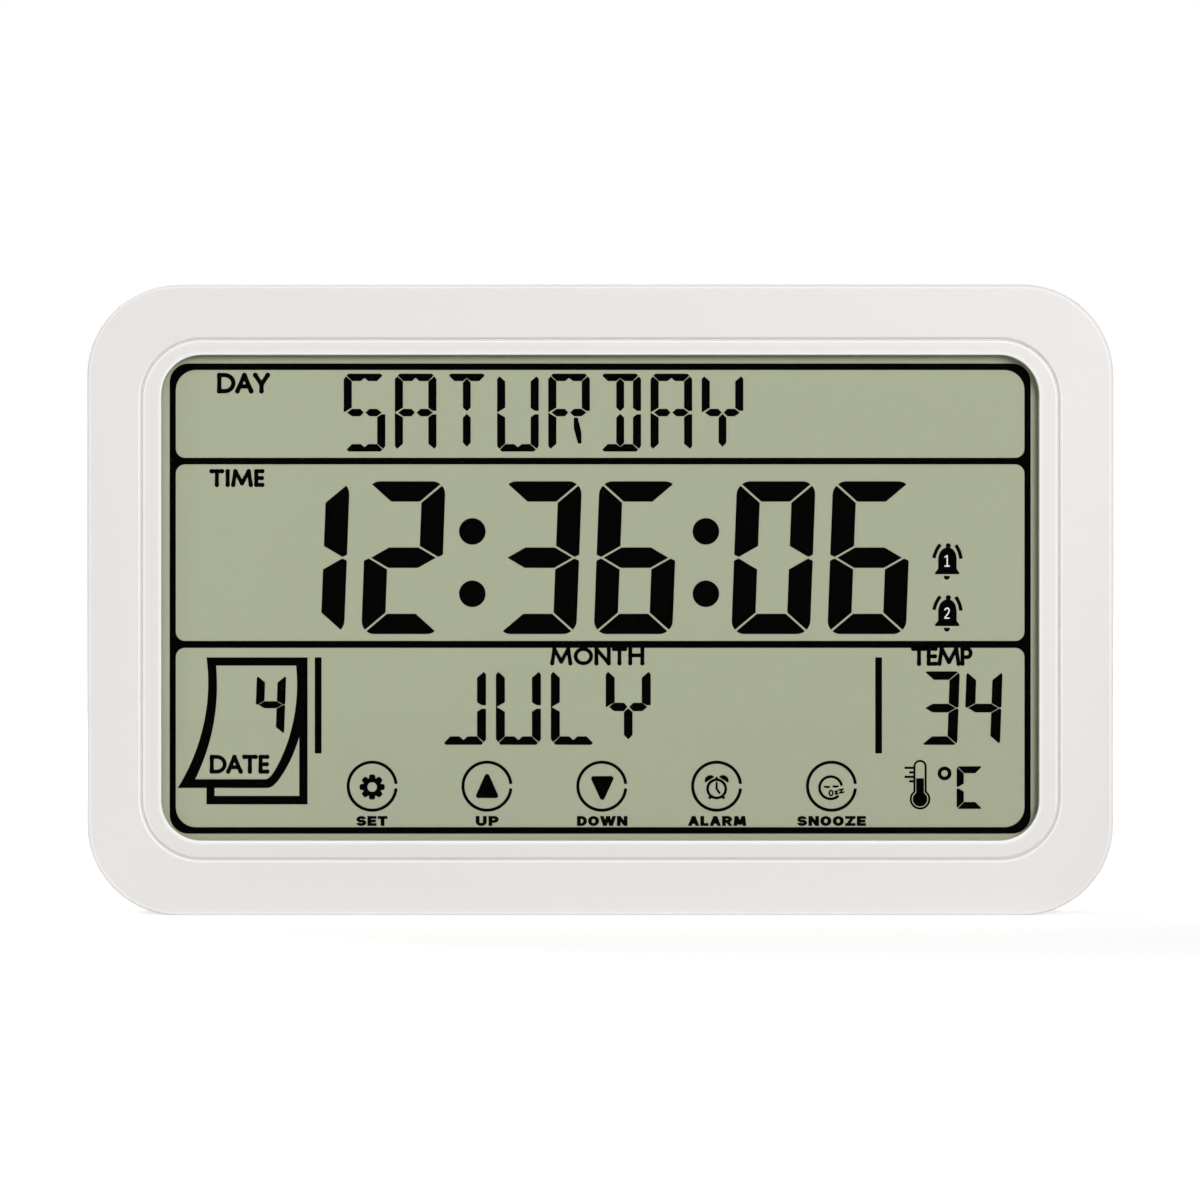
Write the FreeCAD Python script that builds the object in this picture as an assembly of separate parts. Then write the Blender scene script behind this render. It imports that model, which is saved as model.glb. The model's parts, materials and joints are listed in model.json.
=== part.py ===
"""Dementia day clock: a landscape case with one large segment display behind a clear lens.

All sizes are in millimetres. +X is to the right as the clock is read, +Y is towards its back, +Z is up.
The origin is under the middle of the clock: halfway along its width and depth, on the surface it stands on.
"Depth" counts from the front face towards the back, so y = depth - case_d / 2.
"""
import FreeCAD, Part

import math
import os
from collections import namedtuple

from FreeCAD import Vector

# ---------------------------------------------------------------- driving sizes
# window, case outline and front
window_w = 188.2
window_h = 104.1
window_r = 8.6
side_border = 15.9  # window edge to case side
top_border = 15.1
bottom_border = 16.1
case_r = 19.5  # corner radius of the case, seen from the front
front_round = 3.2  # rounding of the front outer edge
rear_round = 3.0
window_round = 0.8  # rounding of the window's front edge
wall = 2.2  # side walls and rear wall
face_wall = 2.0  # front face
bezel_d = 15.0  # front face to the parting line
lip_side = 4.1  # window edge to the middle of the groove
lip_top = 3.55
lip_bottom = 3.9
groove_w = 1.2
groove_depth = 0.7

# display stack, from the front
tape_t = 0.3
tape_w = 2.4
lens_t = 1.0
gasket_t = 0.5
gasket_reveal = 0.4  # gasket's inner edge, outside the window
polariser_t = 0.2
glass_t = 1.1
reflector_t = 0.25
lcd_overlap = 1.9  # display glass beyond the window, each side
ledge_h = 4.5  # contact ledge above the rear glass
film_t = 0.15
film_h = 26.0
film_edge_gap = 0.2

# display carrier
carrier_t = 1.6
rim_t = 1.2
lcd_gap = 0.4  # display glass to the carrier's rim
zebra_t = 2.2
zebra_l = 176.0
zebra_gap = 0.2
post_r = 2.5
post_spread = 48.0  # between the posts of one side
bottom_post_x = 60.0
ear_margin = 0.4  # ear's round end beyond its post
ear_hole_r = 1.15
boss_clear = 0.4  # carrier to a case boss

# circuit board
board_t = 1.6
board_h = 43.0
board_inset = 3.5  # board's end inside the end of the display
board_post_h = 1.2
board_post_r = 2.4
board_post_inset = 6.0  # from the board's ends
board_post_bottom = 4.5
board_post_drop = 10.0  # from the board's top edge

# small screws that hold the carrier and the board
small_screw_r = 0.9
small_head_r = 1.9
small_head_t = 1.3
small_bite = 3.6
board_screw_bite = 2.2
screw_gap = 0.05  # shank to the pilot hole
pilot_spare = 1.0  # pilot hole beyond a case screw's end

# case screws, their bosses in the bezel and columns in the cover
boss_r = 3.0
boss_gap = 0.35  # boss or post to the cover's lip
screw_r = 1.3
screw_bite = 7.5
screw_head_r = 2.5
screw_head_t = 1.8
counterbore_r = 3.0
seat_t = 2.5  # column floor under the screw head
column_root = 0.5  # column into the side wall
drive_r = 1.1
drive_t = 0.9
drive_arm = 0.5

# lip that lines the two shells up
lip_gap = 0.15
lip_t = 1.0
lip_len = 2.0
lip_root = 1.5
bite = 0.2  # how far joined shapes run into each other

# cells and battery compartment
cell_d = 10.5
cell_l = 44.5
cell_round = 0.5
nub_l = 0.8
nub_r = 1.9
cell_space = 0.6  # between cells, and half of it at the ends of the row
cell_count = 3
spring_l = 4.5
spring_wire = 0.6
spring_r0 = 3.6
spring_r1 = 1.6
spring_half_turns = 6
contact_t = 0.4
contact_w = 8.6
contact_notch = 0.1
tab_w = 3.0
tab_l = 1.5
comp_wall = 1.4
comp_end_wall = 1.6
floor_t = 1.4
cell_floor_gap = 0.2
door_gap = 0.4  # cells to the door
wire_room = 2.65  # carrier to the compartment's floor
comp_from_recess = 4.0

# battery door
door_t = 1.8
door_skin = 1.0
tongue_w = 1.2
slide_gap = 0.2
tongue_gap = 0.15
grip_w = 1.0
grip_l = 22.0
grip_depth = 0.4
grip_pitch = 2.2
grip_count = 5
grip_below_top = 5.0

# stand and its recess
stand_w = 60.0
stand_t = 4.0
stand_axis_z = 70.0
stand_tip_z = 4.2
stand_side_gap = 0.4
stand_sink = 0.3  # below the rear face
recess_gap = 0.5  # behind the folded stand
recess_floor_t = 1.6
recess_wall = 2.4
stub_r = 1.5
stub_l = 2.0
stub_gap = 0.08
stub_end_gap = 0.2
stand_open_deg = 40.0
stop_gap = 0.1
notch_w = 22.0
notch_h = 7.0
stand_tip_round = 4.0
pocket_floor = 1.6
pocket_rib = 3.0
pocket_foot = 12.0

# hanging holes, sound holes and vents
hang_spread = 120.0
hang_below_top = 23.0
hang_head_r = 4.25
hang_neck_r = 2.1
hang_slot = 7.0
sound_r = 0.9
sound_ring_r = 3.2
sound_ring_count = 6
vent_w = 1.4
vent_l = 11.0
vent_pitch = 3.0
vent_count = 4

# parts on the board
buzzer_r = 6.0
buzzer_t = 8.5
buzzer_hole_r = 1.0
buzzer_hole_depth = 2.0
buzzer_x = -27.0
blob_r = 9.0
blob_h = 1.8
blob_x = 8.0
chip_l = 10.0
chip_w = 3.9
chip_t = 1.6
chip_pin_w = 0.4
chip_pin_l = 1.05
chip_pin_t = 0.2
chip_pin_pitch = 1.27
chip_pin_count = 8
chip_x = -60.0
crystal_r = 1.5
crystal_l = 8.0
crystal_lead_r = 0.2
crystal_lead_l = 2.0
crystal_lift = 0.05
crystal_x = 32.0
capacitor_r = 3.15
capacitor_h = 7.5
capacitor_groove = 0.3
capacitor_x = 60.0
capacitor_pitch = 9.0
chip_part_l = 2.0
chip_part_w = 1.25
resistor_t = 0.55
small_capacitor_t = 0.8
small_part_pitch = 4.0
resistor_count = 8
small_capacitor_count = 6
thermistor_x = -82.0
thermistor_r = 1.3
thermistor_l = 3.0
thermistor_rise = 6.5
thermistor_lead_r = 0.25
thermistor_lead_pitch = 2.0

# flat tail of the touch film, and its connector
tail_w = 10.0
tail_x = -15.0
tail_bend_r = 1.2
tail_drop = 2.2  # below the carrier's rim
tail_lift = 0.5  # behind the carrier
tail_plug = 2.0  # into the connector
connector_h = 4.0
connector_t = 2.2
connector_side = 2.0
connector_slot_gap = 0.12
connector_above_edge = 3.0

# battery leads
lead_r = 0.6
lead_clear = 0.15
lead_rise = 1.9  # lead's surface behind the board
lead_bend_share = 0.45
lead_pad_z = 5.0  # above the board's lower edge
lead_turn = 15.0  # below the board's lower edge, where a lead starts to rise over it

# ---------------------------------------------------------------- derived sizes
case_w = window_w + 2 * side_border
case_h = bottom_border + window_h + top_border
mid_z = case_h / 2

depth_tape = face_wall
depth_lens = depth_tape + tape_t
depth_gasket = depth_lens + lens_t
depth_polariser = depth_gasket + gasket_t
depth_front_glass = depth_polariser + polariser_t
depth_rear_glass = depth_front_glass + glass_t
depth_reflector = depth_rear_glass + glass_t
depth_carrier = depth_reflector + reflector_t
depth_carrier_back = depth_carrier + carrier_t
depth_board = depth_carrier_back + board_post_h
depth_board_back = depth_board + board_t
depth_comp_floor = depth_carrier_back + wire_room
depth_comp = depth_comp_floor + floor_t
depth_cell_axis = depth_comp + cell_floor_gap + cell_d / 2
depth_door = depth_cell_axis + cell_d / 2 + door_gap
case_d = depth_door + door_t

depth_rear_wall = case_d - wall
depth_stand_axis = case_d - stand_sink - stand_t / 2
depth_recess = case_d - stand_sink - stand_t - recess_gap

Rect = namedtuple("Rect", "x0 x1 z0 z1 r")


def grow(rect, by):
    """The rectangle offset outwards by a distance, its corner radius with it."""
    return Rect(rect.x0 - by, rect.x1 + by, rect.z0 - by, rect.z1 + by, max(rect.r + by, 0))


outline = Rect(-case_w / 2, case_w / 2, 0, case_h, case_r)
window = Rect(-window_w / 2, window_w / 2, bottom_border, bottom_border + window_h, window_r)
lcd = grow(window, lcd_overlap)._replace(r=0)
lcd_with_ledge = lcd._replace(z1=lcd.z1 + ledge_h)
lens = grow(window, lcd_overlap + lcd_gap + rim_t)
rim = grow(lcd_with_ledge, lcd_gap + rim_t)
zebra_z = lcd.z1 + ledge_h / 2
board = Rect(lcd.x0 + board_inset, lcd.x1 - board_inset,
             zebra_z + zebra_t / 2 - board_h, zebra_z + zebra_t / 2 + zebra_gap, 0)

edge_inset = wall + lip_gap + lip_t + boss_gap  # case side to the nearest point of a boss
case_screw_points = [(side * (case_w / 2 - edge_inset - boss_r), z)
                     for side in (-1, 1) for z in (case_r, mid_z, case_h - case_r)]
column_r = edge_inset + boss_r - wall + column_root

side_post_x = case_w / 2 - edge_inset - post_r
bottom_post_z = edge_inset + post_r
side_posts = [(side * side_post_x, mid_z + up * post_spread / 2) for side in (-1, 1) for up in (-1, 1)]
bottom_posts = [(side * bottom_post_x, bottom_post_z) for side in (-1, 1)]
board_posts = [(x, z)
               for x in (board.x0 + board_post_inset, 0, board.x1 - board_post_inset)
               for z in (board.z0 + board_post_bottom, board.z1 - board_post_drop)]

stand_half = stand_w / 2
recess_half = stand_half + stand_side_gap
axis_to_floor = depth_stand_axis - depth_recess
heel_h = (axis_to_floor - stop_gap) / math.sin(math.radians(stand_open_deg))
recess_z0 = stand_tip_z - stand_side_gap
recess_z1 = stand_axis_z + math.hypot(heel_h, stand_t / 2) + stand_side_gap

cell_pitch = cell_d + cell_space
comp_x0 = recess_half + recess_wall + comp_from_recess + comp_end_wall
comp_x1 = comp_x0 + 2 * contact_t + spring_l + cell_l
comp_z0 = wall + lip_gap + comp_wall
comp_z1 = comp_z0 + cell_count * cell_pitch
cell_axes = [comp_z0 + (row + 0.5) * cell_pitch for row in range(cell_count)]
door_z1 = comp_z1 + comp_wall
tab_depth = depth_comp_floor - tab_l

hang_points = [(side * hang_spread / 2, case_h - hang_below_top) for side in (-1, 1)]
parts_z = (board.z0 + board.z1) / 2
lead_depth = depth_comp_floor - lead_r - lead_clear
lead_turn_z = board.z0 - lead_turn


# ---------------------------------------------------------------- shapes
def point(x, depth, z):
    return Vector(x, depth - case_d / 2, z)


def block(x0, x1, depth0, depth1, z0, z1):
    return Part.makeBox(x1 - x0, depth1 - depth0, z1 - z0, point(x0, depth0, z0))


def rod(x, z, radius, depth0, depth1):
    """A round bar along the depth."""
    return Part.makeCylinder(radius, depth1 - depth0, point(x, depth0, z), Vector(0, 1, 0))


def cross_rod(x0, x1, depth, z, radius):
    """A round bar along the width."""
    return Part.makeCylinder(radius, x1 - x0, point(x0, depth, z), Vector(1, 0, 0))


def rounded_path(rect, depth):
    """The rectangle's outline as a closed wire that starts halfway along its lower side."""
    middle = (rect.x0 + rect.x1) / 2
    edges = []
    here = point(middle, depth, rect.z0)
    corners = [(rect.x1, rect.z0, -1, 1, 0), (rect.x1, rect.z1, -1, -1, 1),
               (rect.x0, rect.z1, 1, -1, 0), (rect.x0, rect.z0, 1, 1, 1)]
    cut = rect.r * (1 - math.sqrt(0.5))
    for x, z, to_x, to_z, upright in corners:
        before = point(x + (0 if upright else to_x * rect.r), depth, z + (to_z * rect.r if upright else 0))
        after = point(x + (to_x * rect.r if upright else 0), depth, z + (0 if upright else to_z * rect.r))
        edges.append(Part.LineSegment(here, before).toShape())
        if rect.r > 0:
            mid = point(x + to_x * cut, depth, z + to_z * cut)
            edges.append(Part.Arc(before, mid, after).toShape())
        here = after
    edges.append(Part.LineSegment(here, point(middle, depth, rect.z0)).toShape())
    return Part.Wire(edges)


def slab(rect, depth0, depth1):
    """A plate with rounded corners between two depths."""
    return Part.Face(rounded_path(rect, depth0)).extrude(Vector(0, depth1 - depth0, 0))


def ring(outer, inner, depth0, depth1):
    return slab(outer, depth0, depth1).cut(slab(inner, depth0, depth1))


def joined(first, others):
    shape = first
    for other in others:
        shape = shape.fuse(other)
    return shape.removeSplitter()


def without(first, others):
    shape = first
    for other in others:
        shape = shape.cut(other)
    return shape


def edges_at_depth(shape, depth, within):
    """Edges that lie at one depth, inside a rectangle seen from the front."""
    y = depth - case_d / 2
    slack = 1e-4
    found = []
    for edge in shape.Edges:
        b = edge.BoundBox
        flat = abs(b.YMin - y) < slack and abs(b.YMax - y) < slack
        inside = (b.XMin > within.x0 - slack and b.XMax < within.x1 + slack
                  and b.ZMin > within.z0 - slack and b.ZMax < within.z1 + slack)
        if flat and inside:
            found.append(edge)
    return found


def case_body():
    """The outside of the closed case, as one solid."""
    body = slab(outline, 0, case_d)
    body = body.makeFillet(front_round, edges_at_depth(body, 0, outline))
    return body.makeFillet(rear_round, edges_at_depth(body, case_d, outline))


# ---------------------------------------------------------------- front bezel
def groove():
    """The V-groove around the window, as the solid that is cut away."""
    middle = Rect(window.x0 - lip_side, window.x1 + lip_side,
                  window.z0 - lip_bottom, window.z1 + lip_top, window_r + lip_side)
    proud = groove_depth
    half = groove_w / 2 * (1 + proud / groove_depth)
    corners = [point(0, -proud, middle.z0 - half), point(0, -proud, middle.z0 + half),
               point(0, groove_depth, middle.z0)]
    profile = Part.makePolygon(corners + corners[:1])
    return rounded_path(middle, 0).makePipeShell([profile], True, False)


def front_bezel():
    shell = case_body().common(slab(grow(outline, bite), -bite, bezel_d))
    shell = shell.cut(slab(grow(outline, -wall), face_wall, bezel_d))
    shell = shell.cut(slab(window, -bite, face_wall + bite))
    shell = shell.makeFillet(window_round, edges_at_depth(shell, 0, window))
    shell = shell.cut(groove())
    bosses = [rod(x, z, boss_r, face_wall - bite, bezel_d) for x, z in case_screw_points]
    posts = [rod(x, z, post_r, face_wall - bite, depth_carrier) for x, z in side_posts + bottom_posts]
    pilots = [rod(x, z, screw_r + screw_gap, bezel_d - screw_bite - pilot_spare, bezel_d)
              for x, z in case_screw_points]
    small_pilots = [rod(x, z, small_screw_r + screw_gap, face_wall + screw_gap, depth_carrier)
                    for x, z in side_posts + bottom_posts]
    return without(joined(shell, bosses + posts), pilots + small_pilots)


# ---------------------------------------------------------------- lens, film and display
def lens_tape():
    return ring(lens, grow(lens, -tape_w), depth_tape, depth_lens)


def clear_lens():
    return slab(lens, depth_lens, depth_gasket)


def lcd_gasket():
    frame = ring(lcd, grow(window, gasket_reveal), depth_gasket, depth_polariser)
    relief = block(tail_x - tail_w / 2 - film_edge_gap, tail_x + tail_w / 2 + film_edge_gap,
                   depth_gasket, depth_gasket + film_t + screw_gap, lcd.z0, window.z0)
    return frame.cut(relief)


def bent_strip(route, thickness, x0, x1):
    """A strip of one thickness that follows (depth, z) points, with a round bend at each inner point."""
    points = [point(x0, depth, z) for depth, z in route]
    edges = tangent_path(points, tail_bend_r)
    sides = []
    for offset in (-thickness / 2, thickness / 2):
        sides.append([shifted(edge, offset) for edge in edges])
    near, far = sides
    ends = [Part.LineSegment(near[0].firstVertex(True).Point, far[0].firstVertex(True).Point).toShape(),
            Part.LineSegment(near[-1].lastVertex(True).Point, far[-1].lastVertex(True).Point).toShape()]
    outline_wire = Part.Wire(Part.__sortEdges__(near + far + ends))
    return Part.Face(outline_wire).extrude(Vector(x1 - x0, 0, 0))


def shifted(edge, offset):
    """An edge of a path in a plane of constant x, moved sideways by an offset."""
    across = Vector(1, 0, 0)
    ends = [edge.firstVertex(True).Point, edge.lastVertex(True).Point]
    middle_at = (edge.FirstParameter + edge.LastParameter) / 2
    moved = []
    for at, place in zip((edge.FirstParameter, middle_at, edge.LastParameter),
                         (ends[0], edge.valueAt(middle_at), ends[1])):
        moved.append(place + edge.tangentAt(at).cross(across).multiply(offset))
    if isinstance(edge.Curve, Part.Line):
        return Part.LineSegment(moved[0], moved[2]).toShape()
    return Part.Arc(*moved).toShape()


def tangent_path(points, radius=None):
    """Straight runs joined by tangent arcs, each as large as its runs allow where no radius is given."""
    edges = []
    here = points[0]
    for before, corner, after in zip(points, points[1:], points[2:]):
        run_in = (corner - before).normalize()
        run_out = (after - corner).normalize()
        half_turn = run_in.getAngle(run_out) / 2
        shorter = min((corner - before).Length, (after - corner).Length)
        bend = radius or lead_bend_share * shorter / math.tan(half_turn)
        reach = bend * math.tan(half_turn)
        start = corner - run_in * reach
        end = corner + run_out * reach
        inwards = (run_out - run_in).normalize()
        middle = corner + inwards * (bend / math.cos(half_turn) - bend)
        edges.append(Part.LineSegment(here, start).toShape())
        edges.append(Part.Arc(start, middle, end).toShape())
        here = end
    edges.append(Part.LineSegment(here, points[-1]).toShape())
    return edges


def pipe(edges, radius):
    """A round bar along edges that meet without a corner."""
    start = edges[0].firstVertex(True).Point
    circle = Part.makeCircle(radius, start, edges[0].tangentAt(edges[0].FirstParameter))
    return Part.Wire(edges).makePipeShell([Part.Wire(circle)], True, False)


def touch_film():
    """The clear sensor film behind the lens, and the flat tail that runs round the display to the board."""
    film = grow(window, gasket_reveal - film_edge_gap)
    sheet = slab(film, depth_gasket, depth_gasket + film_t)
    sheet = sheet.common(block(film.x0, film.x1, depth_gasket, depth_gasket + film_t,
                               film.z0, film.z0 + film_h))
    front = depth_gasket + film_t / 2
    low = rim.z0 - tail_drop
    behind = depth_carrier_back + tail_lift
    plug_depth = depth_board_back + connector_t / 2
    plug_z = board.z0 + connector_above_edge
    step = plug_depth - behind
    route = [(front, film.z0 + bite), (front, low), (behind, low),
             (behind, board.z0 - step - 2 * tail_bend_r), (plug_depth, board.z0 - 2 * tail_bend_r),
             (plug_depth, plug_z + tail_plug)]
    tail = bent_strip(route, film_t, tail_x - tail_w / 2, tail_x + tail_w / 2)
    return joined(sheet, [tail])


def lcd_front_polariser():
    return slab(lcd, depth_polariser, depth_front_glass)


def lcd_front_glass():
    return slab(lcd_with_ledge, depth_front_glass, depth_rear_glass)


def lcd_rear_glass():
    return slab(lcd, depth_rear_glass, depth_reflector)


def lcd_rear_reflector():
    return slab(lcd, depth_reflector, depth_carrier)


def zebra_connector():
    return block(-zebra_l / 2, zebra_l / 2, depth_rear_glass, depth_board,
                 zebra_z - zebra_t / 2, zebra_z + zebra_t / 2)


def ear(x, z, towards_x, towards_z):
    """A round-ended ear of the carrier over a post, running towards the carrier's rim."""
    half = post_r + ear_margin
    end = rod(x, z, half, depth_carrier, depth_carrier_back)
    if towards_x:
        x0, x1 = sorted((x, towards_x))
        return end.fuse(block(x0, x1, depth_carrier, depth_carrier_back, z - half, z + half))
    return end.fuse(block(x - half, x + half, depth_carrier, depth_carrier_back, z, towards_z))


def display_carrier():
    tray = slab(rim, depth_gasket, depth_carrier_back)
    tray = tray.cut(slab(grow(lcd_with_ledge, lcd_gap)._replace(r=0), depth_gasket, depth_carrier))
    ears = [ear(x, z, math.copysign(rim.x1 - bite, x), 0) for x, z in side_posts]
    ears += [ear(x, z, 0, rim.z0 + bite) for x, z in bottom_posts]
    posts = [rod(x, z, board_post_r, depth_carrier_back - bite, depth_board) for x, z in board_posts]
    holes = [rod(x, z, ear_hole_r, depth_carrier, depth_carrier_back) for x, z in side_posts + bottom_posts]
    holes += [rod(x, z, small_screw_r + screw_gap, depth_board - board_screw_bite - screw_gap, depth_board)
              for x, z in board_posts]
    clear = [rod(x, z, boss_r + boss_clear, 0, depth_carrier_back) for x, z in case_screw_points]
    slot = block(-zebra_l / 2 - zebra_gap, zebra_l / 2 + zebra_gap, depth_carrier, depth_carrier_back,
                 zebra_z - zebra_t / 2 - zebra_gap, zebra_z + zebra_t / 2 + zebra_gap)
    tail_notch = block(tail_x - tail_w / 2 - lcd_gap, tail_x + tail_w / 2 + lcd_gap,
                       depth_gasket, depth_gasket + film_t + lcd_gap, rim.z0, lcd.z0)
    return without(joined(tray, ears + posts), holes + clear + [slot, tail_notch])


# ---------------------------------------------------------------- screws
def screw(x, z, seat_depth, shank_r, length, head_r, head_t):
    """A pan-head screw driven from the back, its head on seat_depth."""
    shank = rod(x, z, shank_r, seat_depth - length, seat_depth)
    head = rod(x, z, head_r, seat_depth, seat_depth + head_t)
    head = head.makeFillet(head_t / 3, edges_at_depth(head, seat_depth + head_t, grow(outline, 1)))
    share = head_r / screw_head_r
    long, short = drive_r * share, drive_arm * share / 2
    cross = [block(x - a, x + a, seat_depth + head_t - drive_t * share, seat_depth + head_t, z - b, z + b)
             for a, b in ((long, short), (short, long))]
    return without(joined(shank, [head]), cross)


def case_screws():
    seat = bezel_d + seat_t
    return [screw(x, z, seat, screw_r, seat_t + screw_bite, screw_head_r, screw_head_t)
            for x, z in case_screw_points]


def carrier_screws():
    length = carrier_t + small_bite
    return [screw(x, z, depth_carrier_back, small_screw_r, length, small_head_r, small_head_t)
            for x, z in side_posts + bottom_posts]


def board_screws():
    length = board_t + board_screw_bite
    return [screw(x, z, depth_board_back, small_screw_r, length, small_head_r, small_head_t)
            for x, z in board_posts]


# ---------------------------------------------------------------- circuit board
def main_board():
    plate = slab(board, depth_board, depth_board_back)
    holes = [rod(x, z, ear_hole_r, depth_board, depth_board_back) for x, z in board_posts]
    return without(plate, holes)


def controller_blob():
    """A drop of resin: the cap of a sphere whose rim has the drop's radius."""
    sphere_r = (blob_r ** 2 + blob_h ** 2) / (2 * blob_h)
    sphere = Part.makeSphere(sphere_r, point(blob_x, depth_board_back + blob_h - sphere_r, parts_z))
    return sphere.common(block(blob_x - blob_r, blob_x + blob_r, depth_board_back,
                               depth_board_back + blob_h, parts_z - blob_r, parts_z + blob_r))


def touch_chip():
    top = depth_board_back + chip_t
    body = block(chip_x - chip_l / 2, chip_x + chip_l / 2, depth_board_back + chip_pin_t / 2, top,
                 parts_z - chip_w / 2, parts_z + chip_w / 2)
    pins = []
    for number in range(chip_pin_count):
        x = chip_x + (number - (chip_pin_count - 1) / 2) * chip_pin_pitch
        for side in (-1, 1):
            root, tip = chip_w / 2 - bite, chip_w / 2 + chip_pin_l
            z0, z1 = sorted((parts_z + side * root, parts_z + side * tip))
            pins.append(block(x - chip_pin_w / 2, x + chip_pin_w / 2, depth_board_back,
                              depth_board_back + chip_pin_t, z0, z1))
    return joined(body, pins)


def flex_connector():
    z0 = board.z0 + connector_above_edge
    half = tail_w / 2 + connector_side
    shell = block(tail_x - half, tail_x + half, depth_board_back, depth_board_back + connector_t,
                  z0, z0 + connector_h)
    middle = depth_board_back + connector_t / 2
    gap = film_t / 2 + connector_slot_gap
    slot = block(tail_x - tail_w / 2 - connector_slot_gap, tail_x + tail_w / 2 + connector_slot_gap,
                 middle - gap, middle + gap, z0, z0 + tail_plug + connector_slot_gap)
    return shell.cut(slot)


def watch_crystal():
    """A small can lying on the board, its two leads bent down into it."""
    axis = depth_board_back + crystal_r + crystal_lift
    can = cross_rod(crystal_x, crystal_x + crystal_l, axis, parts_z, crystal_r)
    leads = [wire([(crystal_x + bite, axis, z), (crystal_x - crystal_lead_l, axis, z),
                   (crystal_x - crystal_lead_l, depth_board_back, z)], crystal_lead_r)
             for z in (parts_z - crystal_r / 2, parts_z + crystal_r / 2)]
    return joined(can, leads)


def electrolytic_capacitors():
    cans = []
    for number in range(2):
        x = capacitor_x + number * capacitor_pitch
        can = rod(x, parts_z, capacitor_r, depth_board_back, depth_board_back + capacitor_h)
        waist = depth_board_back + capacitor_r / 2
        band = rod(x, parts_z, capacitor_r, waist, waist + capacitor_groove)
        core = rod(x, parts_z, capacitor_r - capacitor_groove, waist, waist + capacitor_groove)
        cans.append(can.cut(band.cut(core)))
    return cans


def chip_row(count, thickness, x0, z):
    return [block(x0 + i * small_part_pitch, x0 + i * small_part_pitch + chip_part_l, depth_board_back,
                  depth_board_back + thickness, z, z + chip_part_w) for i in range(count)]


def chip_resistors():
    return chip_row(resistor_count, resistor_t, blob_x - blob_r, parts_z - blob_r - 2 * chip_part_w)


def chip_capacitors():
    return chip_row(small_capacitor_count, small_capacitor_t, chip_x - chip_l / 2,
                    parts_z + buzzer_r + chip_part_w)


def thermistor():
    """A bead on two straight legs, held off the board behind the vents."""
    top = depth_board_back + thermistor_rise
    half = thermistor_l / 2
    bead = cross_rod(thermistor_x - half, thermistor_x + half, top, parts_z, thermistor_r)
    legs = [rod(thermistor_x + side * thermistor_lead_pitch / 2, parts_z, thermistor_lead_r,
                depth_board_back, top) for side in (-1, 1)]
    return joined(bead, legs)


def buzzer():
    top = depth_board_back + buzzer_t
    can = rod(buzzer_x, parts_z, buzzer_r, depth_board_back, top)
    return can.cut(rod(buzzer_x, parts_z, buzzer_hole_r, top - buzzer_hole_depth, top))


def wire(route, radius):
    """A round wire along (x, depth, z) points, as straight runs joined by tangent arcs."""
    points = [point(*place) for place in route]
    return pipe(tangent_path(points), radius)


def lead_end(x):
    """The last points of a battery lead: up past the board's lower edge, then down onto its pad."""
    depth = depth_board_back + lead_rise + lead_r
    pad_z = board.z0 + lead_pad_z
    return [(x, depth, board.z0 - lead_pad_z), (x, depth, pad_z), (x, depth_board_back, pad_z)]


def red_lead():
    x = comp_x0 - comp_from_recess + lead_r
    z = cell_axes[-1]
    route = [(comp_x0, lead_depth, z), (x, lead_depth, z), (x, lead_depth, lead_turn_z)]
    return wire(route + lead_end(x), lead_r)


def black_lead():
    x = comp_x1 - contact_t - comp_from_recess - lead_r
    z = cell_axes[0]
    end_x = comp_x0 + comp_from_recess
    route = [(comp_x1 - contact_t, lead_depth, z), (x, lead_depth, z),
             (x, lead_depth, (comp_z1 + board.z0) / 2),
             ((x + end_x) / 2, lead_depth + lead_rise, lead_turn_z)]
    return wire(route + lead_end(end_x), lead_r)


# ---------------------------------------------------------------- cells and contacts
def plus_on_left(row):
    """The cells lie head to tail: the top and the bottom one have their plus end on the left."""
    return (cell_count - 1 - row) % 2 == 0


def mirrored(shape):
    """The shape turned end for end about the middle of the compartment."""
    return shape.mirror(Vector((comp_x0 + comp_x1) / 2, 0, 0), Vector(1, 0, 0))


def cell(row):
    """One cell with its nub: the nub stands on its contact, and the spring bears on the other end."""
    z = cell_axes[row]
    start = comp_x0 + contact_t + nub_l
    end = comp_x0 + contact_t + cell_l
    can = cross_rod(start, end, depth_cell_axis, z, cell_d / 2)
    can = can.makeFillet(cell_round, [e for e in can.Edges if isinstance(e.Curve, Part.Circle)])
    nub = cross_rod(comp_x0 + contact_t, start + bite, depth_cell_axis, z, nub_r)
    shape = joined(can, [nub])
    return shape if plus_on_left(row) else mirrored(shape)


def spring(row):
    """A cone of round wire, built of half turns: each is a half circle, tilted to climb its share."""
    z = cell_axes[row]
    climb = (spring_l - spring_wire) / spring_half_turns
    x = comp_x1 - contact_t - spring_wire / 2
    step = (spring_r0 - spring_r1) / spring_half_turns
    edges = []
    for turn in range(spring_half_turns):
        side = 1 if turn % 2 == 0 else -1
        r0 = spring_r0 - turn * step
        r1 = r0 - step
        start = point(x - turn * climb, depth_cell_axis + side * r0, z)
        end = point(x - (turn + 1) * climb, depth_cell_axis - side * r1, z)
        middle = (start + end) / 2 + Vector(0, 0, side * (start - end).Length / 2)
        edges.append(Part.Arc(start, middle, end).toShape())
    shape = pipe(edges, spring_wire / 2)
    return shape if plus_on_left(row) else mirrored(shape)


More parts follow.
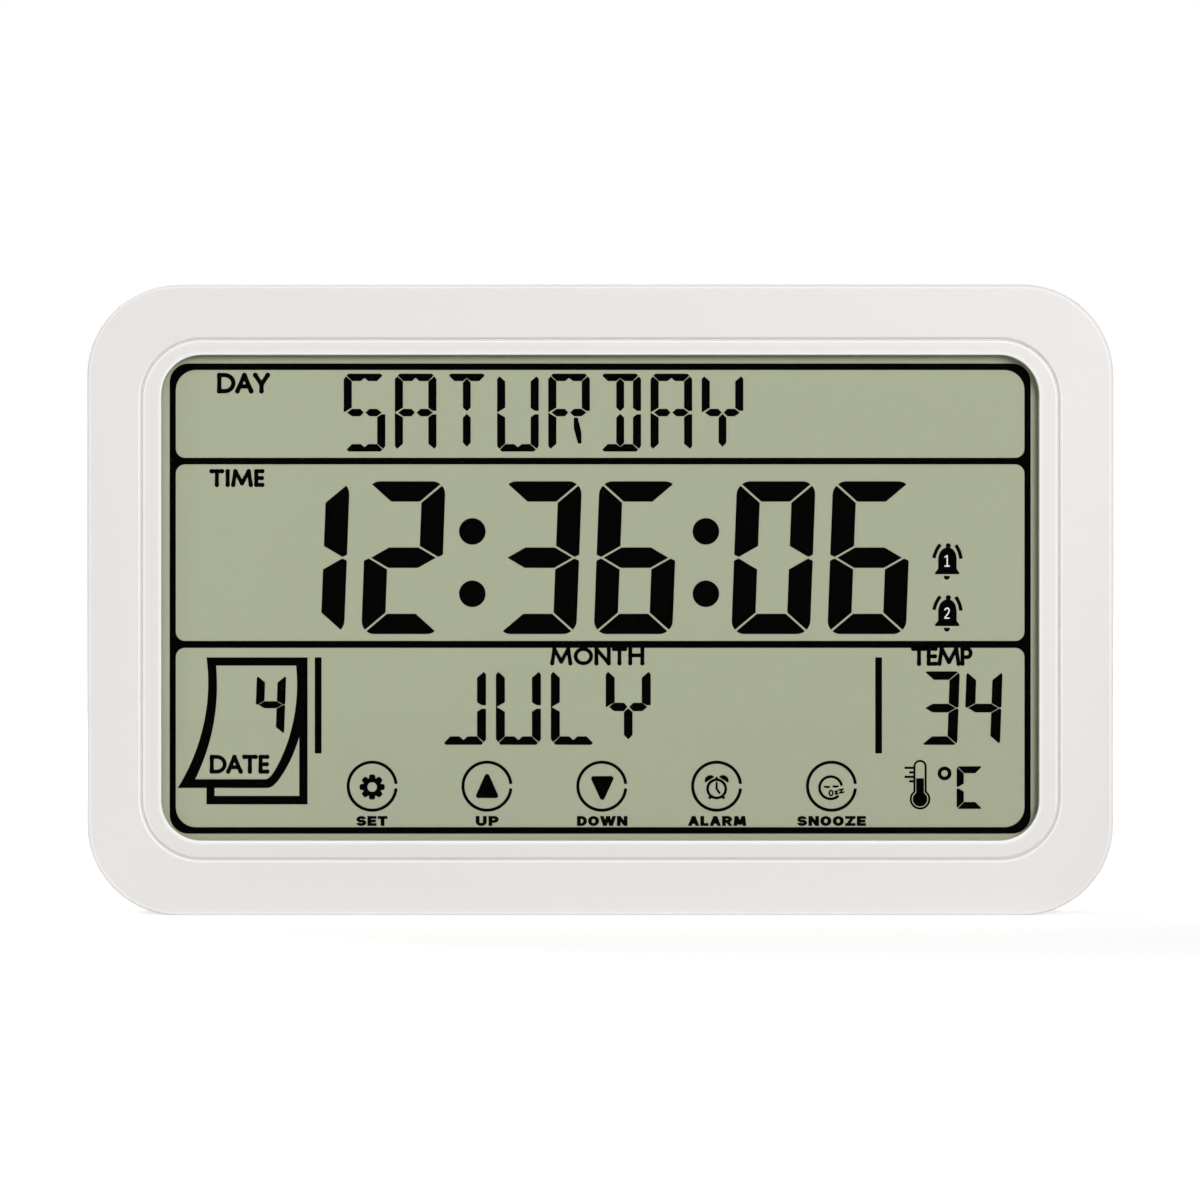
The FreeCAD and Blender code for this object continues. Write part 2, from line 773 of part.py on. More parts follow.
def contact(z0, z1, tab_z=None):
    """A contact plate against the left end wall, over one or two cells, with a tab through the floor."""
    half = contact_w / 2
    plate = block(comp_x0, comp_x0 + contact_t, depth_cell_axis - half, depth_cell_axis + half,
                  z0 - half, z1 + half)
    if tab_z is None:
        return plate
    tab = block(comp_x0, comp_x0 + contact_t, tab_depth, depth_cell_axis,
                tab_z - tab_w / 2, tab_z + tab_w / 2)
    return joined(plate, [tab])


def positive_contact():
    return contact(cell_axes[-1], cell_axes[-1], cell_axes[-1])


def negative_contact():
    return mirrored(contact(cell_axes[0], cell_axes[0], cell_axes[0]))


def bridge_contact_inner():
    return contact(cell_axes[0], cell_axes[1])


def bridge_contact_outer():
    return mirrored(contact(cell_axes[1], cell_axes[2]))


# ---------------------------------------------------------------- rear cover, door and stand
def hanging_hole(x, z):
    """A round entry for a screw head with a slot above it for the screw's neck."""
    back = case_d + bite
    front = depth_rear_wall - bite
    entry = rod(x, z, hang_head_r, front, back)
    slot = block(x - hang_neck_r, x + hang_neck_r, front, back, z, z + hang_slot)
    return entry.fuse(slot).fuse(rod(x, z + hang_slot, hang_neck_r, front, back))


def sound_holes():
    turns = [2 * math.pi * i / sound_ring_count for i in range(sound_ring_count)]
    places = [(buzzer_x, parts_z)]
    places += [(buzzer_x + sound_ring_r * math.cos(a), parts_z + sound_ring_r * math.sin(a)) for a in turns]
    return [rod(x, z, sound_r, depth_rear_wall - bite, case_d + bite) for x, z in places]


def vents():
    slots = []
    for number in range(vent_count):
        z = parts_z + (number - (vent_count - 1) / 2) * vent_pitch
        x0 = thermistor_x - vent_l / 2 + vent_w / 2
        x1 = thermistor_x + vent_l / 2 - vent_w / 2
        front, back = depth_rear_wall - bite, case_d + bite
        middle = block(x0, x1, front, back, z - vent_w / 2, z + vent_w / 2)
        ends = [rod(x, z, vent_w / 2, front, back) for x in (x0, x1)]
        slots.append(joined(middle, ends))
    return slots


def door_slots():
    """The opening for the battery door's face, and the wider groove that its tongues slide in."""
    low = -bite
    high = door_z1 + slide_gap
    reach = tongue_w + slide_gap
    groove_slot = block(comp_x0 - reach, comp_x1 + reach, depth_door - tongue_gap,
                        case_d - door_skin + tongue_gap, low, high)
    opening = block(comp_x0 - slide_gap, comp_x1 + slide_gap, case_d - door_skin, case_d + bite, low, high)
    return [groove_slot, opening]


def rear_cover():
    shell = case_body().common(slab(grow(outline, bite), bezel_d, case_d + bite))
    shell = shell.cut(slab(grow(outline, -wall), bezel_d, depth_rear_wall))
    lip_inner = grow(outline, -(wall + lip_gap + lip_t))
    lip = ring(grow(outline, -(wall + lip_gap)), lip_inner, bezel_d - lip_len, bezel_d + bite)
    root = ring(grow(outline, -(wall - bite)), lip_inner, bezel_d, bezel_d + lip_root)
    columns = [rod(x, z, column_r, bezel_d, depth_rear_wall + bite) for x, z in case_screw_points]
    columns = [column.common(slab(grow(outline, -bite), bezel_d, case_d)) for column in columns]

    outer_x0, outer_x1 = comp_x0 - comp_end_wall, comp_x1 + comp_end_wall
    comp = [block(outer_x0, outer_x1, depth_comp_floor, bezel_d, wall + lip_gap, comp_z1 + comp_wall),
            block(outer_x0, outer_x1, bezel_d, depth_rear_wall + bite, wall - bite, comp_z1 + comp_wall)]
    recess_outer = recess_half + recess_wall
    recess_box = block(-recess_outer, recess_outer, depth_recess - recess_floor_t, depth_rear_wall + bite,
                       wall - bite, recess_z1 + recess_floor_t)
    shell = joined(shell, [lip, root, recess_box] + columns + comp)

    hollows = [block(comp_x0, comp_x1, depth_comp, case_d + bite, comp_z0, comp_z1),
               block(-recess_half, recess_half, depth_recess, case_d + bite, recess_z0, recess_z1)]
    hollows += door_slots()
    for x, z in case_screw_points:
        hollows.append(rod(x, z, counterbore_r, bezel_d + seat_t, case_d + bite))
        hollows.append(rod(x, z, screw_r + 2 * screw_gap, bezel_d - bite, bezel_d + seat_t + bite))
    reach = recess_half + stub_l - stand_side_gap + stub_end_gap
    hollows.append(cross_rod(-reach, reach, depth_stand_axis, stand_axis_z, stub_r + stub_gap))
    tab_room = tab_w / 2 + contact_notch
    for x0, x1, z in ((comp_x0, comp_x0 + contact_t + contact_notch, cell_axes[-1]),
                      (comp_x1 - contact_t - contact_notch, comp_x1, cell_axes[0])):
        hollows.append(block(x0, x1, depth_comp_floor - bite, depth_comp + bite,
                             z - tab_room, z + tab_room))
    hollows += [hanging_hole(x, z) for x, z in hang_points]
    return without(shell, hollows + sound_holes() + vents())


def battery_door():
    """A flat door whose two tongues slide in the cover's grooves; it leaves the case downwards."""
    face = block(comp_x0, comp_x1, case_d - door_skin, case_d, 0, door_z1)
    tongues = block(comp_x0 - tongue_w, comp_x1 + tongue_w, depth_door, case_d - door_skin, 0, door_z1)
    door = joined(face, [tongues]).common(case_body())
    middle = (comp_x0 + comp_x1) / 2
    grips = []
    for number in range(grip_count):
        z = door_z1 - grip_below_top - number * grip_pitch
        grips.append(block(middle - grip_l / 2, middle + grip_l / 2, case_d - grip_depth, case_d + bite,
                           z - grip_w, z))
    return without(door, grips)


def stand():
    """The folding stand: a plate under a round knuckle, with a heel above that stops it when open."""
    inner = depth_stand_axis - stand_t / 2
    outer = depth_stand_axis + stand_t / 2
    outline_rect = Rect(-stand_half, stand_half, stand_tip_z, stand_axis_z + stand_tip_round, stand_tip_round)
    plate = slab(outline_rect, inner, outer)
    plate = plate.common(block(-stand_half, stand_half, inner, outer, stand_tip_z, stand_axis_z))
    knuckle = cross_rod(-stand_half, stand_half, depth_stand_axis, stand_axis_z, stand_t / 2)
    heel = block(-stand_half, stand_half, depth_stand_axis, outer, stand_axis_z, stand_axis_z + heel_h)
    reach = stand_half + stub_l
    stubs = cross_rod(-reach, reach, depth_stand_axis, stand_axis_z, stub_r)
    shape = joined(plate, [knuckle, heel, stubs])

    notch = block(-notch_w / 2, notch_w / 2, inner, outer, stand_tip_z, stand_tip_z + notch_h)
    pockets = []
    for side in (-1, 1):
        x0, x1 = sorted((side * pocket_rib / 2, side * (stand_half - pocket_rib)))
        pockets.append(block(x0, x1, inner, outer - pocket_floor, stand_tip_z + pocket_foot,
                             stand_axis_z - stand_t))
    return without(shape, pockets + [notch])


# ---------------------------------------------------------------- every node
nodes = {
    "front_bezel": front_bezel,
    "lens_tape": lens_tape,
    "clear_lens": clear_lens,
    "touch_film": touch_film,
    "lcd_gasket": lcd_gasket,
    "lcd_front_polariser": lcd_front_polariser,
    "lcd_front_glass": lcd_front_glass,
    "lcd_rear_glass": lcd_rear_glass,
    "lcd_rear_reflector": lcd_rear_reflector,
    "zebra_connector": zebra_connector,
    "display_carrier": display_carrier,
    "carrier_screws": carrier_screws,
    "main_board": main_board,
    "board_screws": board_screws,
    "controller_blob": controller_blob,
    "touch_chip": touch_chip,
    "flex_connector": flex_connector,
    "watch_crystal": watch_crystal,
    "electrolytic_capacitors": electrolytic_capacitors,
    "chip_resistors": chip_resistors,
    "chip_capacitors": chip_capacitors,
    "thermistor": thermistor,
    "buzzer": buzzer,
    "red_lead": red_lead,
    "black_lead": black_lead,
    "battery_top": lambda: cell(2),
    "battery_middle": lambda: cell(1),
    "battery_bottom": lambda: cell(0),
    "battery_springs": lambda: [spring(row) for row in range(cell_count)],
    "positive_contact": positive_contact,
    "negative_contact": negative_contact,
    "bridge_contact_inner": bridge_contact_inner,
    "bridge_contact_outer": bridge_contact_outer,
    "rear_cover": rear_cover,
    "case_screws": case_screws,
    "battery_door": battery_door,
    "stand": stand,
}

os.makedirs("parts", exist_ok=True)
for name, make in nodes.items():
    made = make()
    shape = Part.makeCompound(made) if isinstance(made, list) else made
    shape.exportStep(f"parts/{name}.step")
    print(f"{name}: {len(shape.Solids)} solids, {shape.Volume:.1f} mm3, valid {shape.isValid()}")
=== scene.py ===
"""A landscape day clock with a large printed display, dressed and lit in a plain studio.

Lengths are in millimetres unless a name ends in _m. A flat outline is an array of (x, z) points as the
clock is read: x to the right of its middle, z up from the surface it stands on. y grows from the display
backwards.
"""
import json
import math

import bpy
import numpy as np
from mathutils.geometry import delaunay_2d_cdt
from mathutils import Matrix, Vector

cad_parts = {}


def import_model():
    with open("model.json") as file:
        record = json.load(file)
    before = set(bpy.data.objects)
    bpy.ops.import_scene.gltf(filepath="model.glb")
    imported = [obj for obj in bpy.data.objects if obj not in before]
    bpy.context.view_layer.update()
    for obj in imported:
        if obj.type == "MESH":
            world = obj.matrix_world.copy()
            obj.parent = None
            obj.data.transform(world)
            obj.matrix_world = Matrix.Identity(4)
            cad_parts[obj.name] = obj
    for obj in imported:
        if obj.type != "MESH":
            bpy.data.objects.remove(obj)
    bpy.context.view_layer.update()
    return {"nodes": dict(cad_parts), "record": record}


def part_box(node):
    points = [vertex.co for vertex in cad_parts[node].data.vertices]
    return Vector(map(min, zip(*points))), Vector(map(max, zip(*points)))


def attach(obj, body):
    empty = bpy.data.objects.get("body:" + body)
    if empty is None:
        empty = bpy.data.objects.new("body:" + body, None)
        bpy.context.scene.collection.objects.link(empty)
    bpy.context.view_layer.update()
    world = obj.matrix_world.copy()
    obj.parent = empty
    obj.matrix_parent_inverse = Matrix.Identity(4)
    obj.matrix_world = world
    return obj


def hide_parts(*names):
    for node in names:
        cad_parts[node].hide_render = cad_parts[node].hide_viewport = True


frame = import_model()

# ------------------------ sizes
MM = 0.001


def node_box(name):
    """Lowest and highest corner of a node, in millimetres."""
    low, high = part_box(name)
    return np.array(low) / MM, np.array(high) / MM


bezel_low, bezel_high = node_box("front_bezel")
front_y = bezel_low[1]
parting_y = bezel_high[1]
half_w = bezel_high[0]
case_h = bezel_high[2]
display_y = node_box("lcd_front_polariser")[0][1]

# front shell
case_r = 19.5  # corner radius seen from the front
front_round = 0.8
wall = 2.2
face_wall = 2.0
side_border = 15.9  # window edge to case side
top_border = 15.1
bottom_border = 16.1
window_r = 8.6
window_round = 0.24
lip_side = 4.22  # window edge to the middle of the groove
lip_top = 3.36
lip_bottom = 4.0
groove_w = 0.5
groove_depth = 0.65
groove_rim = 0.5  # rounding of the groove's two rims
parting_round = 0.25
corner_steps = 14  # steps in each quarter circle of the shell's rings

# bosses and posts inside the front shell
boss_r = 3.0
boss_pilot_r = 1.35
boss_pilot_l = 8.5
post_r = 2.5
post_pilot_r = 0.95
post_depth = 6.45
lip_and_gaps = 3.7  # case side to the nearest point of a boss
side_post_spread = 48.0
bottom_post_x = 60.0

# print on the display
ink_t = 0.03
ink_spread = 0.06  # how far the print runs past its drawn outline


# ------------------------ flat outlines
def outline(*parts):
    """One closed outline from points and curves laid end to end."""
    return np.vstack([np.atleast_2d(np.asarray(part, float)) for part in parts])


def arc(cx, cz, rx, rz, start, end, steps=16):
    """An ellipse's arc: the centre plus the radii times cosine and sine of angles from +X, in degrees."""
    angle = np.radians(np.linspace(start, end, steps + 1))
    return np.stack([cx + rx * np.cos(angle), cz + rz * np.sin(angle)], axis=1)


def disc(cx, cz, radius, steps=64):
    """A circle, its first point not said twice."""
    return arc(cx, cz, radius, radius, 0, 360, steps)[:-1]


def sweep(a, b, c, d, steps=18):
    """A cubic curve that leaves a towards b and reaches d from c: the points times Bernstein's terms."""
    t = np.linspace(0, 1, steps + 1)[:, None]
    a, b, c, d = (np.array(point, float) for point in (a, b, c, d))
    return a * (1 - t) ** 3 + 3 * b * t * (1 - t) ** 2 + 3 * c * t ** 2 * (1 - t) + d * t ** 3


def rounded_box(x0, x1, z0, z1, lower_left, lower_right=None, upper_right=None, upper_left=None, steps=10):
    """A box with a quarter circle at each corner, anticlockwise. A radius left out is the first one."""
    radii = [lower_left if r is None else r for r in (lower_left, lower_right, upper_right, upper_left)]
    centres = [(x0 + radii[0], z0 + radii[0]), (x1 - radii[1], z0 + radii[1]),
               (x1 - radii[2], z1 - radii[2]), (x0 + radii[3], z1 - radii[3])]
    return outline(*[arc(cx, cz, r, r, 180 + 90 * turn, 270 + 90 * turn, steps)
                     for turn, ((cx, cz), r) in enumerate(zip(centres, radii))])


def sharp_box(x0, x1, z0, z1):
    """A box's four corners, anticlockwise."""
    return np.array([(x0, z0), (x1, z0), (x1, z1), (x0, z1)])


def pen_line(path, width, height=None, flare=0.0, ends="round"):
    """A line drawn with an elliptical pen, width across and height up.

    Each side lies half the pen's size from the path, square to it. The pen swells by flare times the cube of
    the distance from the line's middle, which is 1 at both ends. Round ends are half circles; flat ends are
    cut square.
    """
    path = np.asarray(path, float)
    if len(path) == 2:
        path = path[0] + (path[1] - path[0]) * np.linspace(0, 1, 9)[:, None]
    along = np.gradient(path, axis=0)
    along /= np.linalg.norm(along, axis=1, keepdims=True)
    run = np.concatenate([[0.0], np.cumsum(np.linalg.norm(np.diff(path, axis=0), axis=1))])
    swell = 1 + flare * np.abs(2 * run / run[-1] - 1) ** 3
    reach = np.array([width, width if height is None else height]) / 2
    across = np.stack([-along[:, 1], along[:, 0]], axis=1) * reach * swell[:, None]
    right, left = path - across, path + across
    if ends == "flat":
        return outline(right, left[::-1])
    start, end = np.degrees(np.arctan2(along[[0, -1], 1], along[[0, -1], 0]))
    radius = np.linalg.norm(across[[0, -1]], axis=1)
    front = arc(*path[-1], radius[1], radius[1], end - 90, end + 90, 8)
    back = arc(*path[0], radius[0], radius[0], start + 90, start + 270, 8)
    return outline(right, front[1:-1], left[::-1], back[1:-1])


def turned(points, degrees, about):
    """The points turned anticlockwise about a centre."""
    angle = math.radians(degrees)
    turn = np.array([[math.cos(angle), math.sin(angle)], [-math.sin(angle), math.cos(angle)]])
    return (np.asarray(points, float) - about) @ turn + about


def anticlockwise(points):
    """The outline without doubled points, turned the way that the triangulation needs."""
    points = np.asarray(points, float)
    apart = np.linalg.norm(points - np.roll(points, 1, axis=0), axis=1) > 1e-4
    points = points[apart]
    x, z = points.T
    area = np.sum(x * np.roll(z, -1) - z * np.roll(x, -1))
    return points if area > 0 else points[::-1]


def grown(points, distance):
    """The outline pushed outward: each point moves along the mean of its two sides' outward normals, by the
    distance over the cosine of half the turn there. Sharp points move by no more than twice the distance."""
    side = np.roll(points, -1, axis=0) - points
    side /= np.linalg.norm(side, axis=1, keepdims=True)
    after = np.stack([side[:, 1], -side[:, 0]], axis=1)
    before = np.roll(after, 1, axis=0)
    turn = 1 + np.sum(before * after, axis=1, keepdims=True)
    return points + distance * (before + after) / np.maximum(turn, 0.5)


# ------------------------ meshes
def placed(name, data):
    """An object that shows some data, in the scene."""
    thing = bpy.data.objects.new(name, data)
    bpy.context.scene.collection.objects.link(thing)
    return thing


def new_piece(name, vertices, faces, material, smooth=False):
    """A mesh from vertices in millimetres, riding on the case."""
    mesh = bpy.data.meshes.new(name)
    mesh.from_pydata((np.asarray(vertices) * MM).tolist(), [], faces)
    mesh.update()
    mesh.validate()
    if smooth:
        mesh.shade_smooth()
    mesh.materials.append(material)
    piece = placed(name, mesh)
    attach(piece, "case")
    return piece


def printed(name, layers, material, spread=ink_spread):
    """A print of one thickness on the display's face.

    layers are (outline, inked) pairs laid down in order: a spot is inked when the last outline that holds it
    is. Inked outlines grow by the spread and clear ones shrink by it. All are triangulated together. The
    inked triangles make the front, the same turned round make the back, and an edge that only one inked
    triangle has gets a wall.
    """
    loops = [grown(anticlockwise(points), spread if inked else -spread) for points, inked in layers]
    inked = np.array([shown for _, shown in layers] + [False])
    starts = np.cumsum([0] + [len(points) for points in loops])
    rings = [list(range(a, b)) for a, b in zip(starts, starts[1:])]
    flat, _, cells, _, _, owners = delaunay_2d_cdt(np.vstack(loops).tolist(), [], rings, 1, 1e-4)
    last = np.array([max(owner, default=len(layers)) for owner in owners])
    used, cells = np.unique(np.array(cells)[inked[last]], return_inverse=True)
    cells = cells.reshape(-1, 3)
    flat = np.array([tuple(point) for point in flat])[used]
    count = len(flat)
    a, b, c = flat[cells[:, 0]], flat[cells[:, 1]], flat[cells[:, 2]]
    area = (b[:, 0] - a[:, 0]) * (c[:, 1] - a[:, 1]) - (c[:, 0] - a[:, 0]) * (b[:, 1] - a[:, 1])
    cells[area < 0] = cells[area < 0][:, ::-1]
    edges = np.concatenate([cells[:, [0, 1]], cells[:, [1, 2]], cells[:, [2, 0]]])
    single = ~np.isin(edges[:, 0] * count + edges[:, 1], edges[:, 1] * count + edges[:, 0])
    rim = edges[single]
    walls = np.stack([rim[:, 1], rim[:, 0], rim[:, 0] + count, rim[:, 1] + count], axis=1)
    front = np.insert(flat, 1, display_y - ink_t, axis=1)
    back = np.insert(flat, 1, display_y, axis=1)
    faces = cells.tolist() + (cells[:, ::-1] + count).tolist() + walls.tolist()
    return new_piece(name, np.vstack([front, back]), faces, material)


def ink(*outlines):
    """The outlines, to be laid down as print."""
    return [(points, True) for points in outlines]


def clear(*outlines):
    """The outlines, to be cut out of the print under them."""
    return [(points, False) for points in outlines]


# ------------------------ seven-segment figures
SEVEN = {"0": "abcdef", "1": "bc", "2": "abged", "3": "abgcd", "4": "fgbc", "6": "afgedc", "C": "afed"}


def flipped_across(points, w):
    """The points mirrored left to right in a box of width w."""
    return points * [-1, 1] + [w, 0]


def flipped_over(points, h):
    """The points mirrored top to bottom in a box of height h."""
    return points * [1, -1] + [0, h]


def lit(segments, pairs, shown, h):
    """The shown segments. In each pair the lower one is the upper one turned over."""
    for upper, lower in pairs:
        segments[lower] = flipped_over(segments[upper], h)
    return [segments[name] for name in shown]


def pointed_bar(tip_left, left, right, tip_right, mid, bar):
    """A level bar whose two ends are points at its mid height."""
    under, over = mid - bar / 2, mid + bar / 2
    return np.array([(tip_left, mid), (left, under), (right, under), (tip_right, mid), (right, over),
                     (left, over)])


def corner_cuts(x0, x1, z0, z1, radius, spare=0.2):
    """The four slivers between a box's corners, pushed out by a spare, and its quarter circles."""
    angle = np.radians(np.linspace(0, 90, 9))
    curve = radius * (1 - np.stack([np.cos(angle), np.sin(angle)], axis=1))
    sliver = outline(curve, (radius, -spare), (-spare, -spare), (-spare, radius))
    return [sliver * [to_x, to_z] + [x, z]
            for x, z, to_x, to_z in ((x0, z0, 1, 1), (x1, z0, -1, 1), (x1, z1, -1, -1), (x0, z1, 1, -1))]


def seven_segments(figure, w, h, upright, bar, gap):
    """The lit segments of a figure in a box w by h, as outlines.

    The ends of the bars are cut along the line from each outer corner to the inner one, half a gap to each
    side. The middle bar is a hexagon, and the uprights end on lines parallel to its slanted sides.
    """
    middle_slope = 0.58
    past, tip_share, bevel = 0.06, 0.19, 0.48
    mitre = math.hypot(upright, bar)
    step_x = gap / 2 * mitre / bar
    step_z = gap / 2 * mitre / upright
    mid = h / 2
    shoulder = upright + past * upright
    tip = shoulder - bar / 2 / middle_slope
    rise = gap * math.hypot(1, middle_slope)
    inset = tip_share * upright
    low_tip = mid + middle_slope * (inset - tip) + rise
    low_in = mid + middle_slope * (upright - tip) + rise
    low_out = low_tip + bevel * inset
    top = np.array([(step_x, h), (upright + step_x, h - bar), (w - upright - step_x, h - bar),
                    (w - step_x, h)])
    left = np.array([(0, h - step_z), (0, low_out), (inset, low_tip), (upright, low_in),
                     (upright, h - bar - step_z)])
    middle = pointed_bar(tip, shoulder, w - shoulder, w - tip, mid, bar)
    segments = {"a": top, "f": left, "b": flipped_across(left, w), "g": middle}
    return lit(segments, ("ad", "fe", "bc"), SEVEN[figure], h)


def figures(text, lefts, z0, w, h, upright, bar, gap, radius, slant=0.0):
    """Figures leaning by slant about their mid height, with the left edges given at that height."""
    layers = []
    for figure, left in zip(text, lefts):
        shapes = ink(*seven_segments(figure, w, h, upright, bar, gap))
        for points, inked in shapes + clear(*corner_cuts(0, w, 0, h, radius)):
            points = np.asarray(points, float)
            lean = slant * (points[:, 1] - h / 2)
            layers.append((np.stack([points[:, 0] + lean + left, points[:, 1] + z0], axis=1), inked))
    return layers


# ------------------------ fourteen-segment letters
FOURTEEN = {"S": "afnmcd", "A": "afnmbec", "T": "ail", "U": "fbecd", "R": "afbnmek", "D": "ailbcd",
            "Y": "fbnml", "J": "bcd", "L": "fed"}


def fourteen_segments(letter, w, h, upright, bar, waist):
    """The lit segments of a letter in a box w by h. waist is half the gap between the left uprights.

    Bars and outer uprights meet at the corners in slanted ends with a thin gap. The bars have a V notch in
    the middle of their inner edge, the two middle bars are hexagons, and the centre uprights are pointed at
    both ends.
    """
    mid, centre = h / 2, w / 2
    half = 0.48 * upright
    notch = 0.095 * w
    end_x, cut_x, cut_z, off = 1.0, 0.64, 0.37, 0.14  # a bar's slanted ends, and how far off an upright
    drop, side_drop = 0.6, 1.15  # from the letter's top to an upright's tip and to its outer side
    foot = mid + 0.43  # of the right uprights
    spine_drop, spine_foot = 0.4, mid + 1.12
    top = np.array([(end_x, h), (w - end_x, h), (w - cut_x, h - cut_z), (w - off - upright, h - bar),
                    (centre + notch, h - bar), (centre, h - 0.54 * bar), (centre - notch, h - bar),
                    (off + upright, h - bar), (cut_x, h - cut_z)])
    left = np.array([(0.46, h - drop), (0, h - side_drop), (0, mid + waist),
                     (upright, mid + waist + 0.58 * upright), (upright, h - upright)])
    right = np.array([(w - 0.4, h - drop), (w - upright, h - upright), (w - upright, mid + 1.04),
                      (w - half, foot), (w, foot), (w, h - side_drop)])
    near = pointed_bar(0.75, 1.76, centre - 0.93, centre - 0.25, mid, bar)
    far = pointed_bar(centre + 0.28, centre + 1.1, w - 1.77, w - 0.79, mid, bar)
    spine = np.array([(centre, h - 0.7 * bar), (centre - half, h - spine_drop - bar),
                      (centre - half, spine_foot), (centre, mid + 0.36), (centre + half, spine_foot),
                      (centre + half, h - spine_drop - bar)])
    # only the R of the day has a leg, and it is placed in that letter
    leg = np.array([(5.49, 7.16), (5.49, 4.93), (6.37, 1.73), (7.02, 1.73), (7.02, 4.03), (6.25, 7.16)])
    segments = {"a": top, "f": left, "b": right, "n": near, "m": far, "i": spine, "k": leg}
    return lit(segments, ("ad", "fe", "bc", "il"), FOURTEEN[letter], h)


def word(text, x0, pitch, z0, w, h, upright, bar, waist):
    """Letters of fourteen segments, a pitch apart."""
    layers = []
    for number, letter in enumerate(text):
        shapes = fourteen_segments(letter, w, h, upright, bar, waist)
        layers += ink(*[points + [x0 + number * pitch, z0] for points in shapes])
    return layers


# ------------------------ lettering
# Each letter is drawn in a unit square, as paths: two points for a straight stroke, more for a curve.
GLYPHS = {
    "A": [[(0, 0), (0.5, 1)], [(1, 0), (0.5, 1)], [(0.22, 0.3), (0.78, 0.3)]],
    "D": [[(0, 0), (0, 1)], outline((0, 1), arc(0.38, 0.5, 0.62, 0.5, 90, -90), (0, 0))],
    "E": [[(0, 0), (0, 1)], [(0, 1), (1, 1)], [(0, 0.5), (0.92, 0.5)], [(0, 0), (1, 0)]],
    "H": [[(0, 0), (0, 1)], [(1, 0), (1, 1)], [(0, 0.56), (1, 0.56)]],
    "I": [[(0.5, 0), (0.5, 1)]],
    "L": [[(0, 0), (0, 1)], [(0, 0), (1, 0)]],
    "M": [[(0, 0), (0.12, 1)], [(0.12, 1), (0.5, 0.12)], [(0.88, 1), (0.5, 0.12)], [(1, 0), (0.88, 1)]],
    "N": [[(0, 0), (0, 1)], [(0, 1), (1, 0)], [(1, 0), (1, 1)]],
    "O": [arc(0.5, 0.5, 0.5, 0.5, 90, 271), arc(0.5, 0.5, 0.5, 0.5, -90, 91)],
    "P": [[(0, 0), (0, 1)], outline((0, 1), arc(0.55, 0.72, 0.45, 0.28, 90, -90), (0, 0.44))],
    "R": [[(0, 0), (0, 1)], outline((0, 1), arc(0.55, 0.74, 0.4, 0.26, 90, -90), (0, 0.48)),
          [(0.5, 0.48), (1, 0)]],
    "T": [[(0, 1), (1, 1)], [(0.5, 0), (0.5, 1)]],
    "U": [[(0, 0.38), (0, 1)], [(1, 0.38), (1, 1)], arc(0.5, 0.4, 0.5, 0.4, 180, 360)],
    "W": [[(0, 1), (0.25, 0)], [(0.5, 1), (0.25, 0)], [(0.5, 1), (0.75, 0)], [(1, 1), (0.75, 0)]],
    "Y": [[(0, 1), (0.5, 0.42)], [(1, 1), (0.5, 0.42)], [(0.5, 0), (0.5, 0.42)]],
    "Z": [[(0, 1), (1, 1)], [(0, 0), (1, 1)], [(0, 0), (1, 0)]],
}


def soft_letter(letter, x0, z0, w, h, pen):
    """A letter drawn with a round pen whose straight strokes swell towards their ends."""
    swell = 0.17
    shapes = []
    for path in GLYPHS[letter]:
        line = np.array([x0 + pen / 2, z0 + pen / 2]) + np.asarray(path, float) * [w - pen, h - pen]
        shapes.append(pen_line(line, pen, flare=swell if len(path) == 2 else 0.0))
    return shapes


def bold_s(x0, z0, w, h, stem, bar):
    """Two bowls, each a band between two ellipses about one centre, a stem wide and a bar high."""
    shapes = []
    for cx, cz, rx, rz, start, end in ((0.5, 0.74, 0.46, 0.26, 14, 266), (0.5, 0.25, 0.5, 0.25, 86, -166)):
        centre = (x0 + stem / 2 + cx * (w - stem), z0 + bar / 2 + cz * (h - bar))
        rx, rz = rx * (w - stem), rz * (h - bar)
        shapes.append(outline(arc(*centre, rx + stem / 2, rz + bar / 2, start, end),
                              arc(*centre, rx - stem / 2, rz - bar / 2, end, start)))
    return shapes


def bold_letter(letter, x0, z0, w, h, stem, bar):
    """A sans letter: bars cut square, uprights and slants cut level at the letter's top and foot, curves
    drawn with a pen as wide as a stem and as high as a bar. An S has a slightly thinner stem."""
    if letter == "S":
        return bold_s(x0, z0, w, h, 0.9 * stem, bar)
    shapes = []
    for path in GLYPHS[letter]:
        path = np.asarray(path, float)
        if len(path) > 2:
            curve = np.array([x0 + stem / 2, z0 + bar / 2]) + path * [w - stem, h - bar]
            shapes.append(pen_line(curve, stem, bar, ends="flat"))
            continue
        lower, upper = sorted(path, key=lambda point: point[1])
        if lower[1] == upper[1]:
            x1, x2 = x0 + path[:, 0] * w
            middle = z0 + bar / 2 + lower[1] * (h - bar)
            shapes.append(sharp_box(x1, x2, middle - bar / 2, middle + bar / 2))
            continue
        half = stem / 2
        foot = x0 + half + lower[0] * (w - stem)
        head = x0 + half + upper[0] * (w - stem)
        low, high = z0 + lower[1] * h, z0 + upper[1] * h
        shapes.append(np.array([(foot - half, low), (foot + half, low),
                                (head + half, high), (head - half, high)]))
    return shapes


def lettering(text, box, widths, draw, pens, beside_a=1.0):
    """A word that fills a box: letters of the given widths, in cap heights, and equal gaps between them,
    save beside an A, where the gap is a share of the others."""
    x, x1, z0, z1 = box
    h = z1 - z0
    shares = [beside_a if "A" in pair else 1.0 for pair in zip(text, text[1:])]
    spare = x1 - x - h * sum(widths[letter] for letter in text)
    gap = spare / sum(shares)
    layers = []
    for letter, share in zip(text, shares + [0.0]):
        w = widths[letter] * h
        layers += ink(*draw(letter, x, z0, w, h, *pens))
        x += w + share * gap
    return layers


